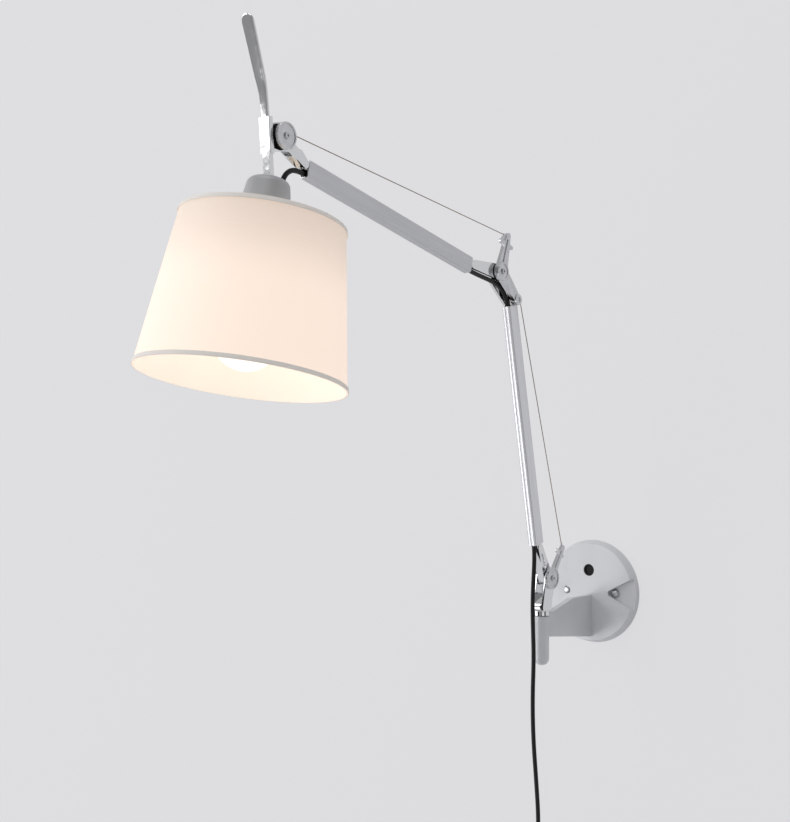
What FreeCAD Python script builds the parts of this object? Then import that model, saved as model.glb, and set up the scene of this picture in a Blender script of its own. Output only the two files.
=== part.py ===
import FreeCAD, Part
import math
import os
import re
import Sketcher
from FreeCAD import Placement, Rotation, Vector

# An articulating wall lamp. +Z is up, the wall is the plane Y = 0, the lamp reaches towards -Y,
# and the origin is the centre of the round wall plate's back face. Millimetres and degrees.

doc = FreeCAD.newDocument("WallLamp")
sheet = doc.addObject("Spreadsheet::Sheet", "Sizes")

sizes = {
    # round wall plate
    "plate_dia": 120, "plate_front_dia": 114.6, "plate_depth": 12, "plate_cavity": 2.6, "plate_rim": 5,
    "plate_edge": 1.2, "plate_round": 0.6,
    "notch_apex": 21, "notch_half_angle": 27.5, "notch_depth": 6.5, "notch_round": 3.5,
    "plug_hole_dia": 14, "plug_hole_up": 25.5, "plug_hole_depth": 4, "plug_disc_thick": 3.2,
    "plug_dish": 1.2,
    "plug_lip": 1.6,
    "plate_screw_offset": 32.4, "screw_head_dia": 10, "screw_shank_dia": 4, "screw_clear": 0.4,
    "screw_dome": 4.3, "screw_end": 0.5,
    "strap_thick": 1.8, "strap_width": 16, "strap_length": 82, "strap_rise": 94,
    "wall_hole_offset": 38, "wall_hole_dia": 4.6, "wall_head_room": 8.5, "wall_head_radius": 7.4,
    # cantilever arm and swivel tube
    "reach": 115, "arm_thick": 7, "arm_bottom": 52, "arm_bottom_end": 41, "arm_top": 3.2,
    "arm_flat": 41,
    "tube_dia": 16.8, "tube_top": 17, "tube_bottom": 72, "spindle_dia": 10, "spindle_depth": 44,
    "bearing_gap": 0.05, "bush_thick": 0.8, "bush_inset": 0.6, "tube_bottom_round": 8, "turn_gap": 0.15,
    "joint_gap": 0.1,
    # swivel fork and the shoulder joint
    "collar_dia": 19, "collar_height": 5, "shoulder_back": 7.9, "shoulder_rise": 24.7,
    "cheek_radius": 9.3, "fork_root_radius": 8.5, "fork_root_rise": 9.2, "web_radius": 6.2,
    "tongue_half": 4, "washer_thick": 0.9, "cheek_thick": 2.4, "barrel_radius": 8.5,
    "cheek_extra": 1.6, "barrel_room": 0.6, "foot_web_rise": 2,
    "joint_screw_dia": 5, "joint_head_dia": 6.4, "joint_head_thick": 1.4, "joint_socket_dia": 2.5,
    "washer_radius": 7.4, "washer_play": 0.05,
    # the two levers that the steel cables hook on
    "cable_plane": 7.4, "cable_dia": 0.9, "lever_thick": 3, "lever_tip_radius": 3.3,
    "lever_root_radius": 5.2,
    "shoulder_disc_radius": 12.3, "disc_proud": 1.9, "disc_dish": 0.8, "disc_rim": 2, "disc_bevel": 0.6,
    "rib_proud": 0.9, "rib_root_radius": 2.3, "rib_tip_radius": 1.15, "rib_stop": 5,
    "shoulder_lever_length": 39.6, "shoulder_lever_lean": 36.6,
    "shoulder_cross_at": 32, "shoulder_cross_near": 4.7, "shoulder_cross_far": 7.2, "cross_radius": 1.9,
    "elbow_disc_radius": 9.8, "elbow_lever_length": 41.2, "elbow_lever_lean": 29.4,
    "elbow_cross_at": 31, "elbow_cross_half": 11, "horn_rise": 8.5, "horn_run": 4,
    "horn_thick": 2, "horn_root_radius": 1.4, "horn_tip_radius": 1, "guide_arm_radius": 5,
    # both arm tubes: one extrusion, with the lead on its outer side
    "section_width": 17.6, "section_thick": 10.4, "section_wall": 1.4, "section_round": 2.6,
    "section_groove": 1.6, "groove_depth": 0.6,
    "tube_offset": 10.8, "lead_dia": 4.8, "lead_gap": 0.15,
    # lower arm, in a frame at the shoulder with Z along the tube
    "lower_lean": 11.33, "lower_start": 42, "lower_short": 38.8, "elbow_out": 30.5, "elbow_along": 346.8,
    "foot_slot_radius": 2.3, "foot_slot_end": 1.3, "root_radius": 4.7, "root_step": 5.4, "root_pad": 6,
    "plug_gap": 0.1, "plug_lead_gap": 0.2, "plug_depth": 16, "guide_radius": 6, "guide_groove": 4.6,
    "guide_below": 33.3,
    "guide_out": 6.2, "guide_flange": 1.1, "guide_core": 1.2, "guide_face": 1.8, "guide_dish_radius": 3,
    "rail_bend": 24, "rail_thick": 3.6, "rail_rise": 7, "rail_turn": 62, "elbow_cheek_extra": 0.8,
    "web_root_radius": 4.6, "web_radius_out": 4.2, "web_shift": 2.8,
    # upper arm, in a frame at the elbow with Z along the tube
    "upper_lean": 76, "upper_offset": 9.7, "upper_start": 50, "upper_short": 39, "head_up": 4.3,
    "head_along": 348,
    "fork_cheek": 1.5, "fork_height": 8.4, "knob_radius": 12.2, "knob_thick": 3, "ring_radius": 11.6,
    "ring_thick": 1.3, "hub_radius": 4, "hub_thick": 1.5, "knob_dish": 0.7, "knob_rim": 1.8,
    "knob_bevel": 0.4,
    "fork_start": 5, "fork_web": 14, "fork_eye_extra": 1.6, "lug_room": 0.8, "lug_side_gap": 0.3,
    "knob_flutes": 30, "flute_radius": 0.45,
    # head: upright block with its lug, stem and handle
    "block_lean": 4.5, "block_front": 17.4, "block_thick": 5, "block_width": 12.8, "block_top": 15.9,
    "block_bottom": 16.2, "block_round": 0.8, "lug_half": 3.5, "lug_radius": 12.7, "lug_root": 12.2,
    "stem_width": 7.8, "stem_thick": 5.4, "stem_inset": 0.3,
    "handle_width": 9, "handle_tip_width": 14.2, "handle_reach": 15.3, "handle_rise": 80, "handle_thick": 3.6,
    # shade, cup, holder and bulb, in a frame at the head joint with Z along the shade's axis
    "shade_lean": 11.3, "shade_shift": 3.5, "shade_top_dia": 146, "shade_bottom_dia": 184,
    "shade_top": 78.5,
    "shade_height": 140.7, "fabric_thick": 0.9, "rim_height": 3.6, "rim_thick": 0.7,
    "cup_top": 40.5, "cup_shoulder_radius": 19.4, "cup_round": 7, "cup_inner_flat": 12,
    "cup_inner_drop": 7.5,
    "cup_dia": 48.5, "cup_height": 37, "cup_wall": 1.2, "lead_entry": 15.5, "lead_clear": 0.15,
    "holder_dia": 39, "holder_top": 70, "holder_length": 60, "holder_bore": 28, "holder_floor": 32,
    "carrier_drop": 26, "carrier_wire": 2.4, "carrier_ring_width": 4.5,
    "bulb_dia": 60, "bulb_bottom": 211, "bulb_neck_dia": 30, "bulb_cap_dia": 26.6, "bulb_cap_length": 26.3,
    "nut_wall": 3.4, "nut_height": 4.95, "holder_foot": 14, "holder_foot_round": 2,
    # hanging cord
    "coil_turns_in_layer": 2, "coil_layers": 4, "coil_outer_radius": 33, "coil_pitch": 6.2,
    "coil_drop": 350, "coil_tail": 17, "tie_thick": 1.2, "tie_width": 9, "tie_round": 2.2,
    "plug_neck": 20, "plug_length": 34, "plug_width": 26, "plug_thick": 13.5, "pin_dia": 4,
    "pin_spacing": 18.6,
    "pin_length": 19,
}
for row, (alias, number) in enumerate(sizes.items(), 1):
    sheet.set(f"A{row}", alias)
    sheet.set(f"B{row}", str(number))
    sheet.setAlias(f"B{row}", alias)
doc.recompute()


def size(alias):
    return float(getattr(sheet, alias))


def bound(text):
    """Turn a formula of size names into an expression on the sheet."""
    return re.sub(r"\b([a-z]+(?:_[a-z]+)+|reach)\b", lambda m: "Sizes." + m.group(1), str(text))


def value(text):
    return float(sheet.evalExpression(re.sub("Sizes\\.", "", bound(text))))


# Frames: each is a base point (y, z formulas) and a lean about X, outwards from upright.
world = ("0", "0", "0")
swivel = ("-reach", "0", "0")
shoulder = ("-(reach - shoulder_back)", "shoulder_rise", "0")
lower = (shoulder[0], shoulder[1], "lower_lean")
elbow_y = "(-(reach - shoulder_back) - elbow_out * cos(lower_lean) - elbow_along * sin(lower_lean))"
elbow_z = "(shoulder_rise - elbow_out * sin(lower_lean) + elbow_along * cos(lower_lean))"
elbow = (elbow_y, elbow_z, "lower_lean")
upper = (elbow_y, elbow_z, "upper_lean")
head_y = f"({elbow_y} + head_up * cos(upper_lean) - head_along * sin(upper_lean))"
head_z = f"({elbow_z} + head_up * sin(upper_lean) + head_along * cos(upper_lean))"
head_joint = (head_y, head_z, "upper_lean")
block = (head_y, head_z, "block_lean")
shade = (f"({head_y} - shade_shift * cos(shade_lean))", f"({head_z} + shade_shift * sin(shade_lean))",
         "-shade_lean")


def place(item, frame):
    """Bind an object's Placement to a frame."""
    item.Placement = Placement(Vector(0, value(frame[0]), value(frame[1])), Rotation(Vector(1, 0, 0), 1))
    item.setExpression(".Placement.Base.y", bound(frame[0]))
    item.setExpression(".Placement.Base.z", bound(frame[1]))
    item.setExpression(".Placement.Rotation.Angle", bound(frame[2]))


def framed(frame):
    """The Placement of a frame, for shapes that are set by code."""
    return Placement(Vector(0, value(frame[0]), value(frame[1])), Rotation(Vector(1, 0, 0), value(frame[2])))


parts = []


def new_body(label, frame=world):
    item = doc.addObject("PartDesign::Body", label)
    item.Label = label
    place(item, frame)
    parts.append(item)
    return item


def new_sketch(item, plane, offset="0"):
    """A sketch on one of the body's own planes: XY, YZ (x is Y, y is Z) or XZ."""
    sketch = item.newObject("Sketcher::SketchObject", item.Name + "_sketch")
    support = [f for f in item.Origin.OriginFeatures if f.Role == plane + "_Plane"][0]
    sketch.AttachmentSupport = [(support, "")]
    sketch.MapMode = "FlatFace"
    sketch.AttachmentOffset = Placement(Vector(0, 0, value(offset)), Rotation())
    sketch.setExpression(".AttachmentOffset.Base.z", bound(offset))
    return sketch


def bind(sketch, kind, *where, formula):
    """Add one constraint whose number is a formula of the sheet."""
    number = sketch.addConstraint(Sketcher.Constraint(kind, *where, value(formula)))
    sketch.setExpression(f"Constraints[{number}]", bound(formula))


def pin_point(sketch, edge, end, x, y):
    bind(sketch, "DistanceX", -1, 1, edge, end, formula=x)
    bind(sketch, "DistanceY", -1, 1, edge, end, formula=y)


def outline(sketch, points):
    """A closed polygon whose corners are pairs of formulas."""
    spots = [Vector(value(x), value(y), 0) for x, y in points]
    first = sketch.GeometryCount
    for k, spot in enumerate(spots):
        sketch.addGeometry(Part.LineSegment(spot, spots[(k + 1) % len(spots)]))
    for k, (x, y) in enumerate(points):
        last = first + (k - 1) % len(points)
        sketch.addConstraint(Sketcher.Constraint("Coincident", last, 2, first + k, 1))
        pin_point(sketch, first + k, 1, x, y)


def circle(sketch, x, y, radius):
    edge = sketch.addGeometry(Part.Circle(Vector(value(x), value(y), 0), Vector(0, 0, 1), value(radius)))
    pin_point(sketch, edge, 3, x, y)
    bind(sketch, "Radius", edge, formula=radius)


def link(sketch, start, start_radius, end, end_radius):
    """Two rounds of different size joined by their tangent lines, as on a cast lever."""
    a = Vector(value(start[0]), value(start[1]), 0)
    b = Vector(value(end[0]), value(end[1]), 0)
    ra, rb = value(start_radius), value(end_radius)
    along = math.atan2(b.y - a.y, b.x - a.x)
    side = math.acos((ra - rb) / a.distanceToPoint(b))
    up, down = along + side, along - side
    round_a = sketch.addGeometry(Part.ArcOfCircle(Part.Circle(a, Vector(0, 0, 1), ra), up, down + 2 * math.pi))
    round_b = sketch.addGeometry(Part.ArcOfCircle(Part.Circle(b, Vector(0, 0, 1), rb), down, up))

    def on(centre, radius, angle):
        return centre + Vector(math.cos(angle), math.sin(angle), 0) * radius

    left = sketch.addGeometry(Part.LineSegment(on(a, ra, up), on(b, rb, up)))
    right = sketch.addGeometry(Part.LineSegment(on(a, ra, down), on(b, rb, down)))
    for ends in ((left, 1, round_a, 1), (left, 2, round_b, 2), (right, 1, round_a, 2), (right, 2, round_b, 1)):
        sketch.addConstraint(Sketcher.Constraint("Tangent", *ends))
    pin_point(sketch, round_a, 3, *start)
    pin_point(sketch, round_b, 3, *end)
    bind(sketch, "Radius", round_a, formula=start_radius)
    bind(sketch, "Radius", round_b, formula=end_radius)


def rounded_box(sketch, x, y, width, height, radius):
    """A rectangle about (x, y) with four equal rounds."""
    cx, cy, w, h, r = (value(t) for t in (x, y, width, height, radius))
    corners = [(cx + w / 2 - r, cy + h / 2 - r, 0), (cx - w / 2 + r, cy + h / 2 - r, 90),
               (cx - w / 2 + r, cy - h / 2 + r, 180), (cx + w / 2 - r, cy - h / 2 + r, 270)]
    arcs = []
    for px, py, angle in corners:
        ring = Part.Circle(Vector(px, py, 0), Vector(0, 0, 1), r)
        arcs.append(sketch.addGeometry(Part.ArcOfCircle(ring, math.radians(angle), math.radians(angle + 90))))
    for k, arc in enumerate(arcs):
        after = arcs[(k + 1) % 4]
        start = sketch.getPoint(arc, 2)
        side = sketch.addGeometry(Part.LineSegment(start, sketch.getPoint(after, 1)))
        sketch.addConstraint(Sketcher.Constraint("Tangent", side, 1, arc, 2))
        sketch.addConstraint(Sketcher.Constraint("Tangent", side, 2, after, 1))
    half_w, half_h = f"(({width}) / 2 - ({radius}))", f"(({height}) / 2 - ({radius}))"
    pin_point(sketch, arcs[0], 3, f"({x}) + {half_w}", f"({y}) + {half_h}")
    pin_point(sketch, arcs[2], 3, f"({x}) - {half_w}", f"({y}) - {half_h}")
    bind(sketch, "DistanceX", -1, 1, arcs[1], 3, formula=f"({x}) - {half_w}")
    bind(sketch, "DistanceY", -1, 1, arcs[3], 3, formula=f"({y}) - {half_h}")
    bind(sketch, "Radius", arcs[0], formula=radius)


def pad(item, sketch, length, symmetric=False):
    feature = item.newObject("PartDesign::Pad", item.Name + "_pad")
    feature.Profile = sketch
    feature.Length = value(length)
    feature.setExpression("Length", bound(length))
    if symmetric:
        feature.SideType = "Symmetric"
    return feature


def pocket(item, sketch, length, reverse=False):
    """Cut a sketch; reverse cuts along the sketch plane's normal."""
    feature = item.newObject("PartDesign::Pocket", item.Name + "_pocket")
    feature.Profile = sketch
    feature.Length = value(length)
    feature.setExpression("Length", bound(length))
    feature.Reversed = reverse
    return feature


def plate(item, start, thick, draw):
    """A slab in the arm's plane from X = start, with the outline that draw puts on its sketch."""
    sketch = new_sketch(item, "YZ", start)
    draw(sketch)
    return pad(item, sketch, thick)


def cut(item, start, depth, draw, plane="YZ"):
    """A cut along the plane's normal from start."""
    sketch = new_sketch(item, plane, start)
    draw(sketch)
    return pocket(item, sketch, depth, reverse=True)


def revolve(item, draw, axis="V_Axis"):
    sketch = new_sketch(item, "YZ")
    draw(sketch)
    feature = item.newObject("PartDesign::Revolution", item.Name + "_turn")
    feature.Profile = sketch
    feature.ReferenceAxis = (sketch, [axis])
    feature.Angle = 360
    return feature


def soften(item, kind, radius, wanted):
    """Fillet or chamfer the edges that the test picks from the body's last feature."""
    doc.recompute()
    base = item.Tip
    names = [f"Edge{k}" for k, edge in enumerate(base.Shape.Edges, 1) if wanted(edge)]
    feature = item.newObject("PartDesign::" + kind, item.Name + "_" + kind.lower())
    feature.Base = (base, names)
    where = "Radius" if kind == "Fillet" else "Size"
    setattr(feature, where, value(radius))
    feature.setExpression(where, bound(radius))
    return feature


def coded(label, shape, frame=world):
    """A piece whose shape comes from code, in a frame of its own."""
    item = doc.addObject("Part::Feature", label)
    item.Label = label
    item.Shape = shape
    item.Placement = framed(frame).multiply(shape.Placement)
    parts.append(item)
    return item


def cylinder(centre, axis, radius, length):
    return Part.makeCylinder(radius, length, Vector(*centre), Vector(*axis))


# ---- wall plate -------------------------------------------------------------------------------
wall_plate = new_body("wall_plate")
revolve(wall_plate, lambda s: outline(s, [
    ("-plate_cavity", "0"), ("-plate_cavity", "plate_dia / 2 - plate_rim"), ("0", "plate_dia / 2 - plate_rim"),
    ("0", "plate_dia / 2"), ("-plate_edge", "plate_dia / 2"),
    ("-plate_depth + plate_round", "plate_front_dia / 2 + plate_round / 4"),
    ("-plate_depth", "plate_front_dia / 2 - plate_round"),
    ("-plate_depth", "0")]), "H_Axis")


def notch(sketch, side):
    far = "plate_dia"
    rise = f"({far} - notch_apex) * tan(notch_half_angle)"
    outline(sketch, [(f"{side} * notch_apex", "0"), (f"{side} * {far}", rise), (f"{side} * {far}", f"-{rise}")])


for side in (1, -1):
    cut(wall_plate, "plate_depth - notch_depth", "plate_depth", lambda s: notch(s, side), "XZ")
soften(wall_plate, "Fillet", "notch_round", lambda e: len(e.Vertexes) == 2
       and abs(abs(e.Vertexes[0].X) - size("notch_apex")) < 0.01 and abs(e.Vertexes[0].Z) < 0.01
       and abs(e.Vertexes[1].X - e.Vertexes[0].X) < 0.01)


def screw_holes(sketch):
    for side in ("", "-"):
        circle(sketch, f"{side}plate_screw_offset", "0", "(screw_shank_dia + screw_clear) / 2")


cut(wall_plate, "-plate_depth", "3 * plate_depth", screw_holes, "XZ")
cut(wall_plate, "plate_depth - plug_hole_depth", "2 * plate_depth",
    lambda s: circle(s, "0", "plug_hole_up", "plug_hole_dia / 2"), "XZ")


def head_rooms(sketch):
    for side in ("", "-"):
        circle(sketch, "0", f"{side}wall_hole_offset", "wall_head_radius")


head_room = new_sketch(wall_plate, "XZ", "wall_head_room")
head_rooms(head_room)
pocket(wall_plate, head_room, "2 * wall_head_room")

strap = new_body("mounting_strap")
strap_sketch = new_sketch(strap, "XZ")
outline(strap_sketch, [
    ("-strap_length / 2", "-strap_width / 2"), ("-strap_width / 2", "-strap_width / 2"),
    ("-strap_width / 2", "-strap_rise / 2"), ("strap_width / 2", "-strap_rise / 2"),
    ("strap_width / 2", "-strap_width / 2"), ("strap_length / 2", "-strap_width / 2"),
    ("strap_length / 2", "strap_width / 2"), ("strap_width / 2", "strap_width / 2"),
    ("strap_width / 2", "strap_rise / 2"), ("-strap_width / 2", "strap_rise / 2"),
    ("-strap_width / 2", "strap_width / 2"), ("-strap_length / 2", "strap_width / 2")])
for side in ("", "-"):
    circle(strap_sketch, "0", f"{side}wall_hole_offset", "wall_hole_dia / 2")
    circle(strap_sketch, f"{side}plate_screw_offset", "0", "screw_shank_dia / 2")
pad(strap, strap_sketch, "strap_thick")


def dome_screw(side):
    """A dome-head screw on a recess floor, whose shank ends in the strap."""
    floor = size("plate_depth") - size("notch_depth")
    shank = cylinder((side * size("plate_screw_offset"), 0, 0), (0, -1, 0), size("screw_shank_dia") / 2,
                     floor + size("screw_end"))
    radius = size("screw_head_dia") / 2
    ball = Part.makeSphere(radius, Vector(side * size("plate_screw_offset"), -floor, 0))
    keep = cylinder((side * size("plate_screw_offset"), -floor, 0), (0, -1, 0), 2 * radius, size("screw_dome"))
    return shank.fuse(ball.common(keep))


coded("wall_screws", Part.makeCompound([dome_screw(1), dome_screw(-1)]))

hole_plug = new_body("hole_plug")
plug_sketch = new_sketch(hole_plug, "XZ", "plate_depth - plug_hole_depth")
circle(plug_sketch, "0", "plug_hole_up", "plug_hole_dia / 2")
pad(hole_plug, plug_sketch, "plug_disc_thick")
cut(hole_plug, "plate_depth - plug_hole_depth + plug_disc_thick - plug_dish", "plug_dish",
    lambda s: circle(s, "0", "plug_hole_up", "plug_hole_dia / 2 - plug_lip"), "XZ")

# ---- cantilever arm with the swivel tube --------------------------------------------------------
bracket_arm = new_body("bracket_arm")
arm_sketch = new_sketch(bracket_arm, "YZ")
arm_end = "(-tube_top + bush_thick - turn_gap)"
arm_face = "(-reach + tube_dia / 2 - 2 * turn_gap)"
outline(arm_sketch, [
    ("-plate_depth", "-arm_bottom"), ("-plate_depth", "-arm_top"), ("-plate_depth - arm_flat", "-arm_top"),
    ("-reach + collar_dia / 2 + joint_gap", arm_end), (arm_face, arm_end), (arm_face, "-arm_bottom_end")])
pad(bracket_arm, arm_sketch, "arm_thick", symmetric=True)
tube = new_sketch(bracket_arm, "XY", "-tube_bottom + tube_dia / 2")
circle(tube, "0", "-reach", "tube_dia / 2")
pad(bracket_arm, tube, "tube_bottom - tube_dia / 2 - tube_top")
dome = new_sketch(bracket_arm, "XY", "-tube_bottom")
circle(dome, "0", "-reach", "tube_dia / 2")
pad(bracket_arm, dome, "tube_dia / 2")
soften(bracket_arm, "Fillet", "tube_bottom_round", lambda e: hasattr(e.Curve, "Radius")
       and abs(e.CenterOfMass.z + size("tube_bottom")) < 0.01)
bore = new_sketch(bracket_arm, "XY", "-tube_top")
circle(bore, "0", "-reach", "spindle_dia / 2 + bearing_gap")
pocket(bracket_arm, bore, "spindle_depth + 1")

bush = new_body("swivel_bush", swivel)
bush_sketch = new_sketch(bush, "XY", "-tube_top")
circle(bush_sketch, "0", "0", "tube_dia / 2 - bush_inset")
circle(bush_sketch, "0", "0", "spindle_dia / 2 + bearing_gap")
pad(bush, bush_sketch, "bush_thick")

# ---- swivel fork, lever and shoulder joint ------------------------------------------------------
near_face = "(tongue_half + washer_thick + joint_gap)"
fork_base = "(-tube_top + bush_thick)"
fork = new_body("swivel_fork", swivel)
collar = new_sketch(fork, "XY", fork_base)
circle(collar, "0", "0", "collar_dia / 2")
pad(fork, collar, "collar_height")
spindle = new_sketch(fork, "XY", f"{fork_base} - spindle_depth")
circle(spindle, "0", "0", "spindle_dia / 2")
pad(fork, spindle, "spindle_depth + 1")
root_spot = ("0", f"{fork_base} + fork_root_rise")
pivot_spot = ("shoulder_back", "shoulder_rise")
fork_far = f"(-{near_face} - cheek_thick - cheek_extra)"
for start, thick in ((near_face, "cheek_thick"), (fork_far, "cheek_thick + cheek_extra")):
    plate(fork, start, thick, lambda s: link(s, root_spot, "fork_root_radius", pivot_spot, "cheek_radius"))
plate(fork, f"-{near_face}", f"2 * {near_face}",
      lambda s: link(s, root_spot, "fork_root_radius", ("shoulder_back * 0.6", "foot_web_rise"), "web_radius"))
cut(fork, f"-{near_face}", f"2 * {near_face}", lambda s: circle(s, *pivot_spot, "barrel_radius + barrel_room"))
cut(fork, fork_far, "reach", lambda s: circle(s, *pivot_spot, "joint_screw_dia / 2"))

lever = new_body("shoulder_lever", shoulder)
tip_spot = ("shoulder_lever_length * sin(shoulder_lever_lean)", "shoulder_lever_length * cos(shoulder_lever_lean)")
lever_back = "(cable_plane - lever_thick / 2)"
disc_back = f"({near_face} + cheek_thick)"
plate(lever, lever_back, "lever_thick", lambda s: link(s, ("0", "0"), "lever_root_radius", tip_spot,
                                                      "lever_tip_radius"))


def on_lever(length, across, lean):
    """A point of a lever at a length from its pivot and a distance across it."""
    return (f"(({length}) * sin({lean}) + ({across}) * cos({lean}))",
            f"(({length}) * cos({lean}) - ({across}) * sin({lean}))")


plate(lever, lever_back, "lever_thick", lambda s: link(
    s, on_lever("shoulder_cross_at", "-shoulder_cross_far", "shoulder_lever_lean"), "cross_radius + 0.3",
    on_lever("shoulder_cross_at", "shoulder_cross_near", "shoulder_lever_lean"), "cross_radius"))
cut(lever, "0", disc_back, lambda s: circle(s, "0", "0", "cheek_radius + 2 * turn_gap"))
plate(lever, disc_back, "disc_proud + cable_plane + lever_thick / 2 - " + disc_back,
      lambda s: circle(s, "0", "0", "shoulder_disc_radius"))
plate(lever, "cable_plane", "lever_thick / 2 + rib_proud", lambda s: link(
    s, ("0", "0"), "rib_root_radius", on_lever("shoulder_lever_length - rib_stop", "0", "shoulder_lever_lean"),
    "rib_tip_radius"))
disc_front = "(cable_plane + lever_thick / 2 + disc_proud)"


def bevel_disc(item, front, radius, bevel="disc_bevel"):
    """Bevel a round boss's front edge."""
    soften(item, "Chamfer", bevel, lambda e: isinstance(e.Curve, Part.Circle)
           and abs(e.Curve.Radius - value(radius)) < 0.01
           and abs(item.Placement.inverse().multVec(e.Curve.Center).x - value(front)) < 0.01)


bevel_disc(lever, disc_front, "shoulder_disc_radius")
cut(lever, f"{disc_front} - disc_dish", "disc_proud", lambda s: circle(s, "0", "0", "shoulder_disc_radius - disc_rim"))
cut(lever, "0", "reach", lambda s: circle(s, "0", "0", "joint_screw_dia / 2"))


def joint_screw(label, frame, front, back):
    """A socket screw through a fork, with its head outside the near face."""
    item = new_body(label, frame)
    plate(item, back, f"{front} - ({back}) + joint_head_thick / 2",
          lambda s: circle(s, "0", "0", "joint_screw_dia / 2"))
    plate(item, front, "joint_head_thick", lambda s: circle(s, "0", "0", "joint_head_dia / 2"))
    cut(item, f"{front} + joint_head_thick / 3", "joint_head_thick",
        lambda s: circle(s, "0", "0", "joint_socket_dia / 2"))
    return item


joint_screw("shoulder_screw", shoulder, f"({disc_front} - disc_dish)", fork_far)


def washers(label, frame):
    """The two friction washers beside a tongue."""
    rings = []
    inner = size("tongue_half") + size("washer_play")
    for start in (inner, -inner - size("washer_thick")):
        ring = cylinder((start, 0, 0), (1, 0, 0), size("washer_radius"), size("washer_thick"))
        rings.append(ring.cut(cylinder((start, 0, 0), (1, 0, 0), size("joint_screw_dia") / 2, size("washer_thick"))))
    return coded(label, Part.makeCompound(rings), frame)


washers("shoulder_washers", shoulder)

# ---- lower arm ------------------------------------------------------------------------------------


def arm_tube(label, frame, offset, start, length):
    """The extruded tube: a rounded oblong with one bore and a fine groove down each narrow side."""
    item = new_body(label, frame)
    section = new_sketch(item, "XY", start)
    rounded_box(section, "0", f"-{offset}", "section_thick", "section_width", "section_round")
    rounded_box(section, "0", f"-{offset}", "section_thick - 2 * section_wall",
                "section_width - 2 * section_wall", "section_round - section_wall / 2")
    pad(item, section, length)
    for edge in ("", "-"):
        groove = new_sketch(item, "XY", start)
        side = f"(-{offset} {edge or '+'} section_width / 2)"
        circle(groove, "0", f"{side} {edge or '+'} (section_groove - groove_depth)", "section_groove")
        pocket(item, groove, length, reverse=True)
    return item


# each tube ends a fixed way short of the joint that it carries
lower_length = "(elbow_along - lower_short - lower_start)"
upper_length = "(head_along - upper_short - upper_start)"
arm_tube("lower_tube", lower, "tube_offset", "lower_start", lower_length)

bore_half = "(section_thick / 2 - section_wall - plug_gap)"
bore_inner = "(section_width / 2 - section_wall - plug_gap)"
lead_out = "(section_width / 2 - section_wall - lead_dia / 2 - lead_gap)"
plug_outer = f"({lead_out} - lead_dia / 2 - plug_lead_gap)"


def tube_plug(item, offset, start, length):
    """The casting's root inside the tube, beside the lead."""
    sketch = new_sketch(item, "XY", start)
    rounded_box(sketch, "0", f"-{offset} + ({bore_inner} - {plug_outer}) / 2", f"2 * {bore_half}",
                f"({bore_inner} + {plug_outer})", "section_round - section_wall / 2 + plug_gap")
    pad(item, sketch, length)


foot = new_body("lower_foot", lower)
foot_end = (f"-tube_offset + ({bore_inner} - {plug_outer}) / 2", "lower_start - root_step")
plate(foot, "-tongue_half", "2 * tongue_half", lambda s: link(s, ("0", "0"), "barrel_radius", foot_end, "root_radius"))
tube_plug(foot, "tube_offset", "lower_start - root_pad", "plug_depth + root_pad")
slot_low, slot_high = ("-tube_offset / 3", "lower_start / 3"), ("-tube_offset * 0.68", "lower_start * 0.69")
cut(foot, "-tongue_half", "2 * tongue_half",
    lambda s: link(s, slot_low, "foot_slot_radius", slot_high, "foot_slot_end"))
cut(foot, "-tongue_half", "2 * tongue_half", lambda s: circle(s, "0", "0", "joint_screw_dia / 2 + bearing_gap"))

elbow_spot = ("-elbow_out", "elbow_along")
tube_end = "(elbow_along - lower_short)"
elbow_fork = new_body("elbow_fork", lower)
tube_plug(elbow_fork, "tube_offset", f"{tube_end} - plug_depth", "plug_depth + rail_rise")
fork_root = (f"-tube_offset + ({bore_inner} - {plug_outer}) / 2", f"{tube_end} + root_step")
plate(elbow_fork, f"-{near_face}", f"2 * {near_face}", lambda s: link(
    s, fork_root, "web_root_radius", ("-tube_offset + web_shift", f"{tube_end} + rail_rise"), "web_radius_out"))
elbow_far = f"(-{near_face} - cheek_thick - elbow_cheek_extra)"
plate(elbow_fork, elbow_far, f"-{elbow_far} - {near_face}",
      lambda s: link(s, fork_root, "root_step", elbow_spot, "cheek_radius"))


def rail(sketch):
    """The curved polished rail from the tube's mouth to just under the barrel: a sector of a ring."""
    centre = (f"(-tube_offset - {plug_outer} + plug_lead_gap - rail_bend)", f"({tube_end} + rail_rise)")
    middle = Vector(value(centre[0]), value(centre[1]), 0)
    arcs = []
    for radius in ("rail_bend", "(rail_bend + rail_thick)"):
        round_ = Part.Circle(middle, Vector(0, 0, 1), value(radius))
        arc = sketch.addGeometry(Part.ArcOfCircle(round_, 0, math.radians(size("rail_turn"))))
        pin_point(sketch, arc, 3, *centre)
        bind(sketch, "Radius", arc, formula=radius)
        bind(sketch, "DistanceY", -1, 1, arc, 1, formula=centre[1])
        bind(sketch, "DistanceX", -1, 1, arc, 2, formula=f"{centre[0]} + {radius} * cos(rail_turn)")
        arcs.append(arc)
    for end in (1, 2):
        side = sketch.addGeometry(Part.LineSegment(sketch.getPoint(arcs[0], end), sketch.getPoint(arcs[1], end)))
        sketch.addConstraint(Sketcher.Constraint("Coincident", side, 1, arcs[0], end))
        sketch.addConstraint(Sketcher.Constraint("Coincident", side, 2, arcs[1], end))


plate(elbow_fork, f"-{near_face}", f"2 * {near_face}", rail)
cut(elbow_fork, f"-{near_face}", f"2 * {near_face}",
    lambda s: circle(s, *elbow_spot, "barrel_radius + barrel_room"))
cut(elbow_fork, elbow_far, "reach", lambda s: circle(s, *elbow_spot, "joint_screw_dia / 2"))

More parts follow.
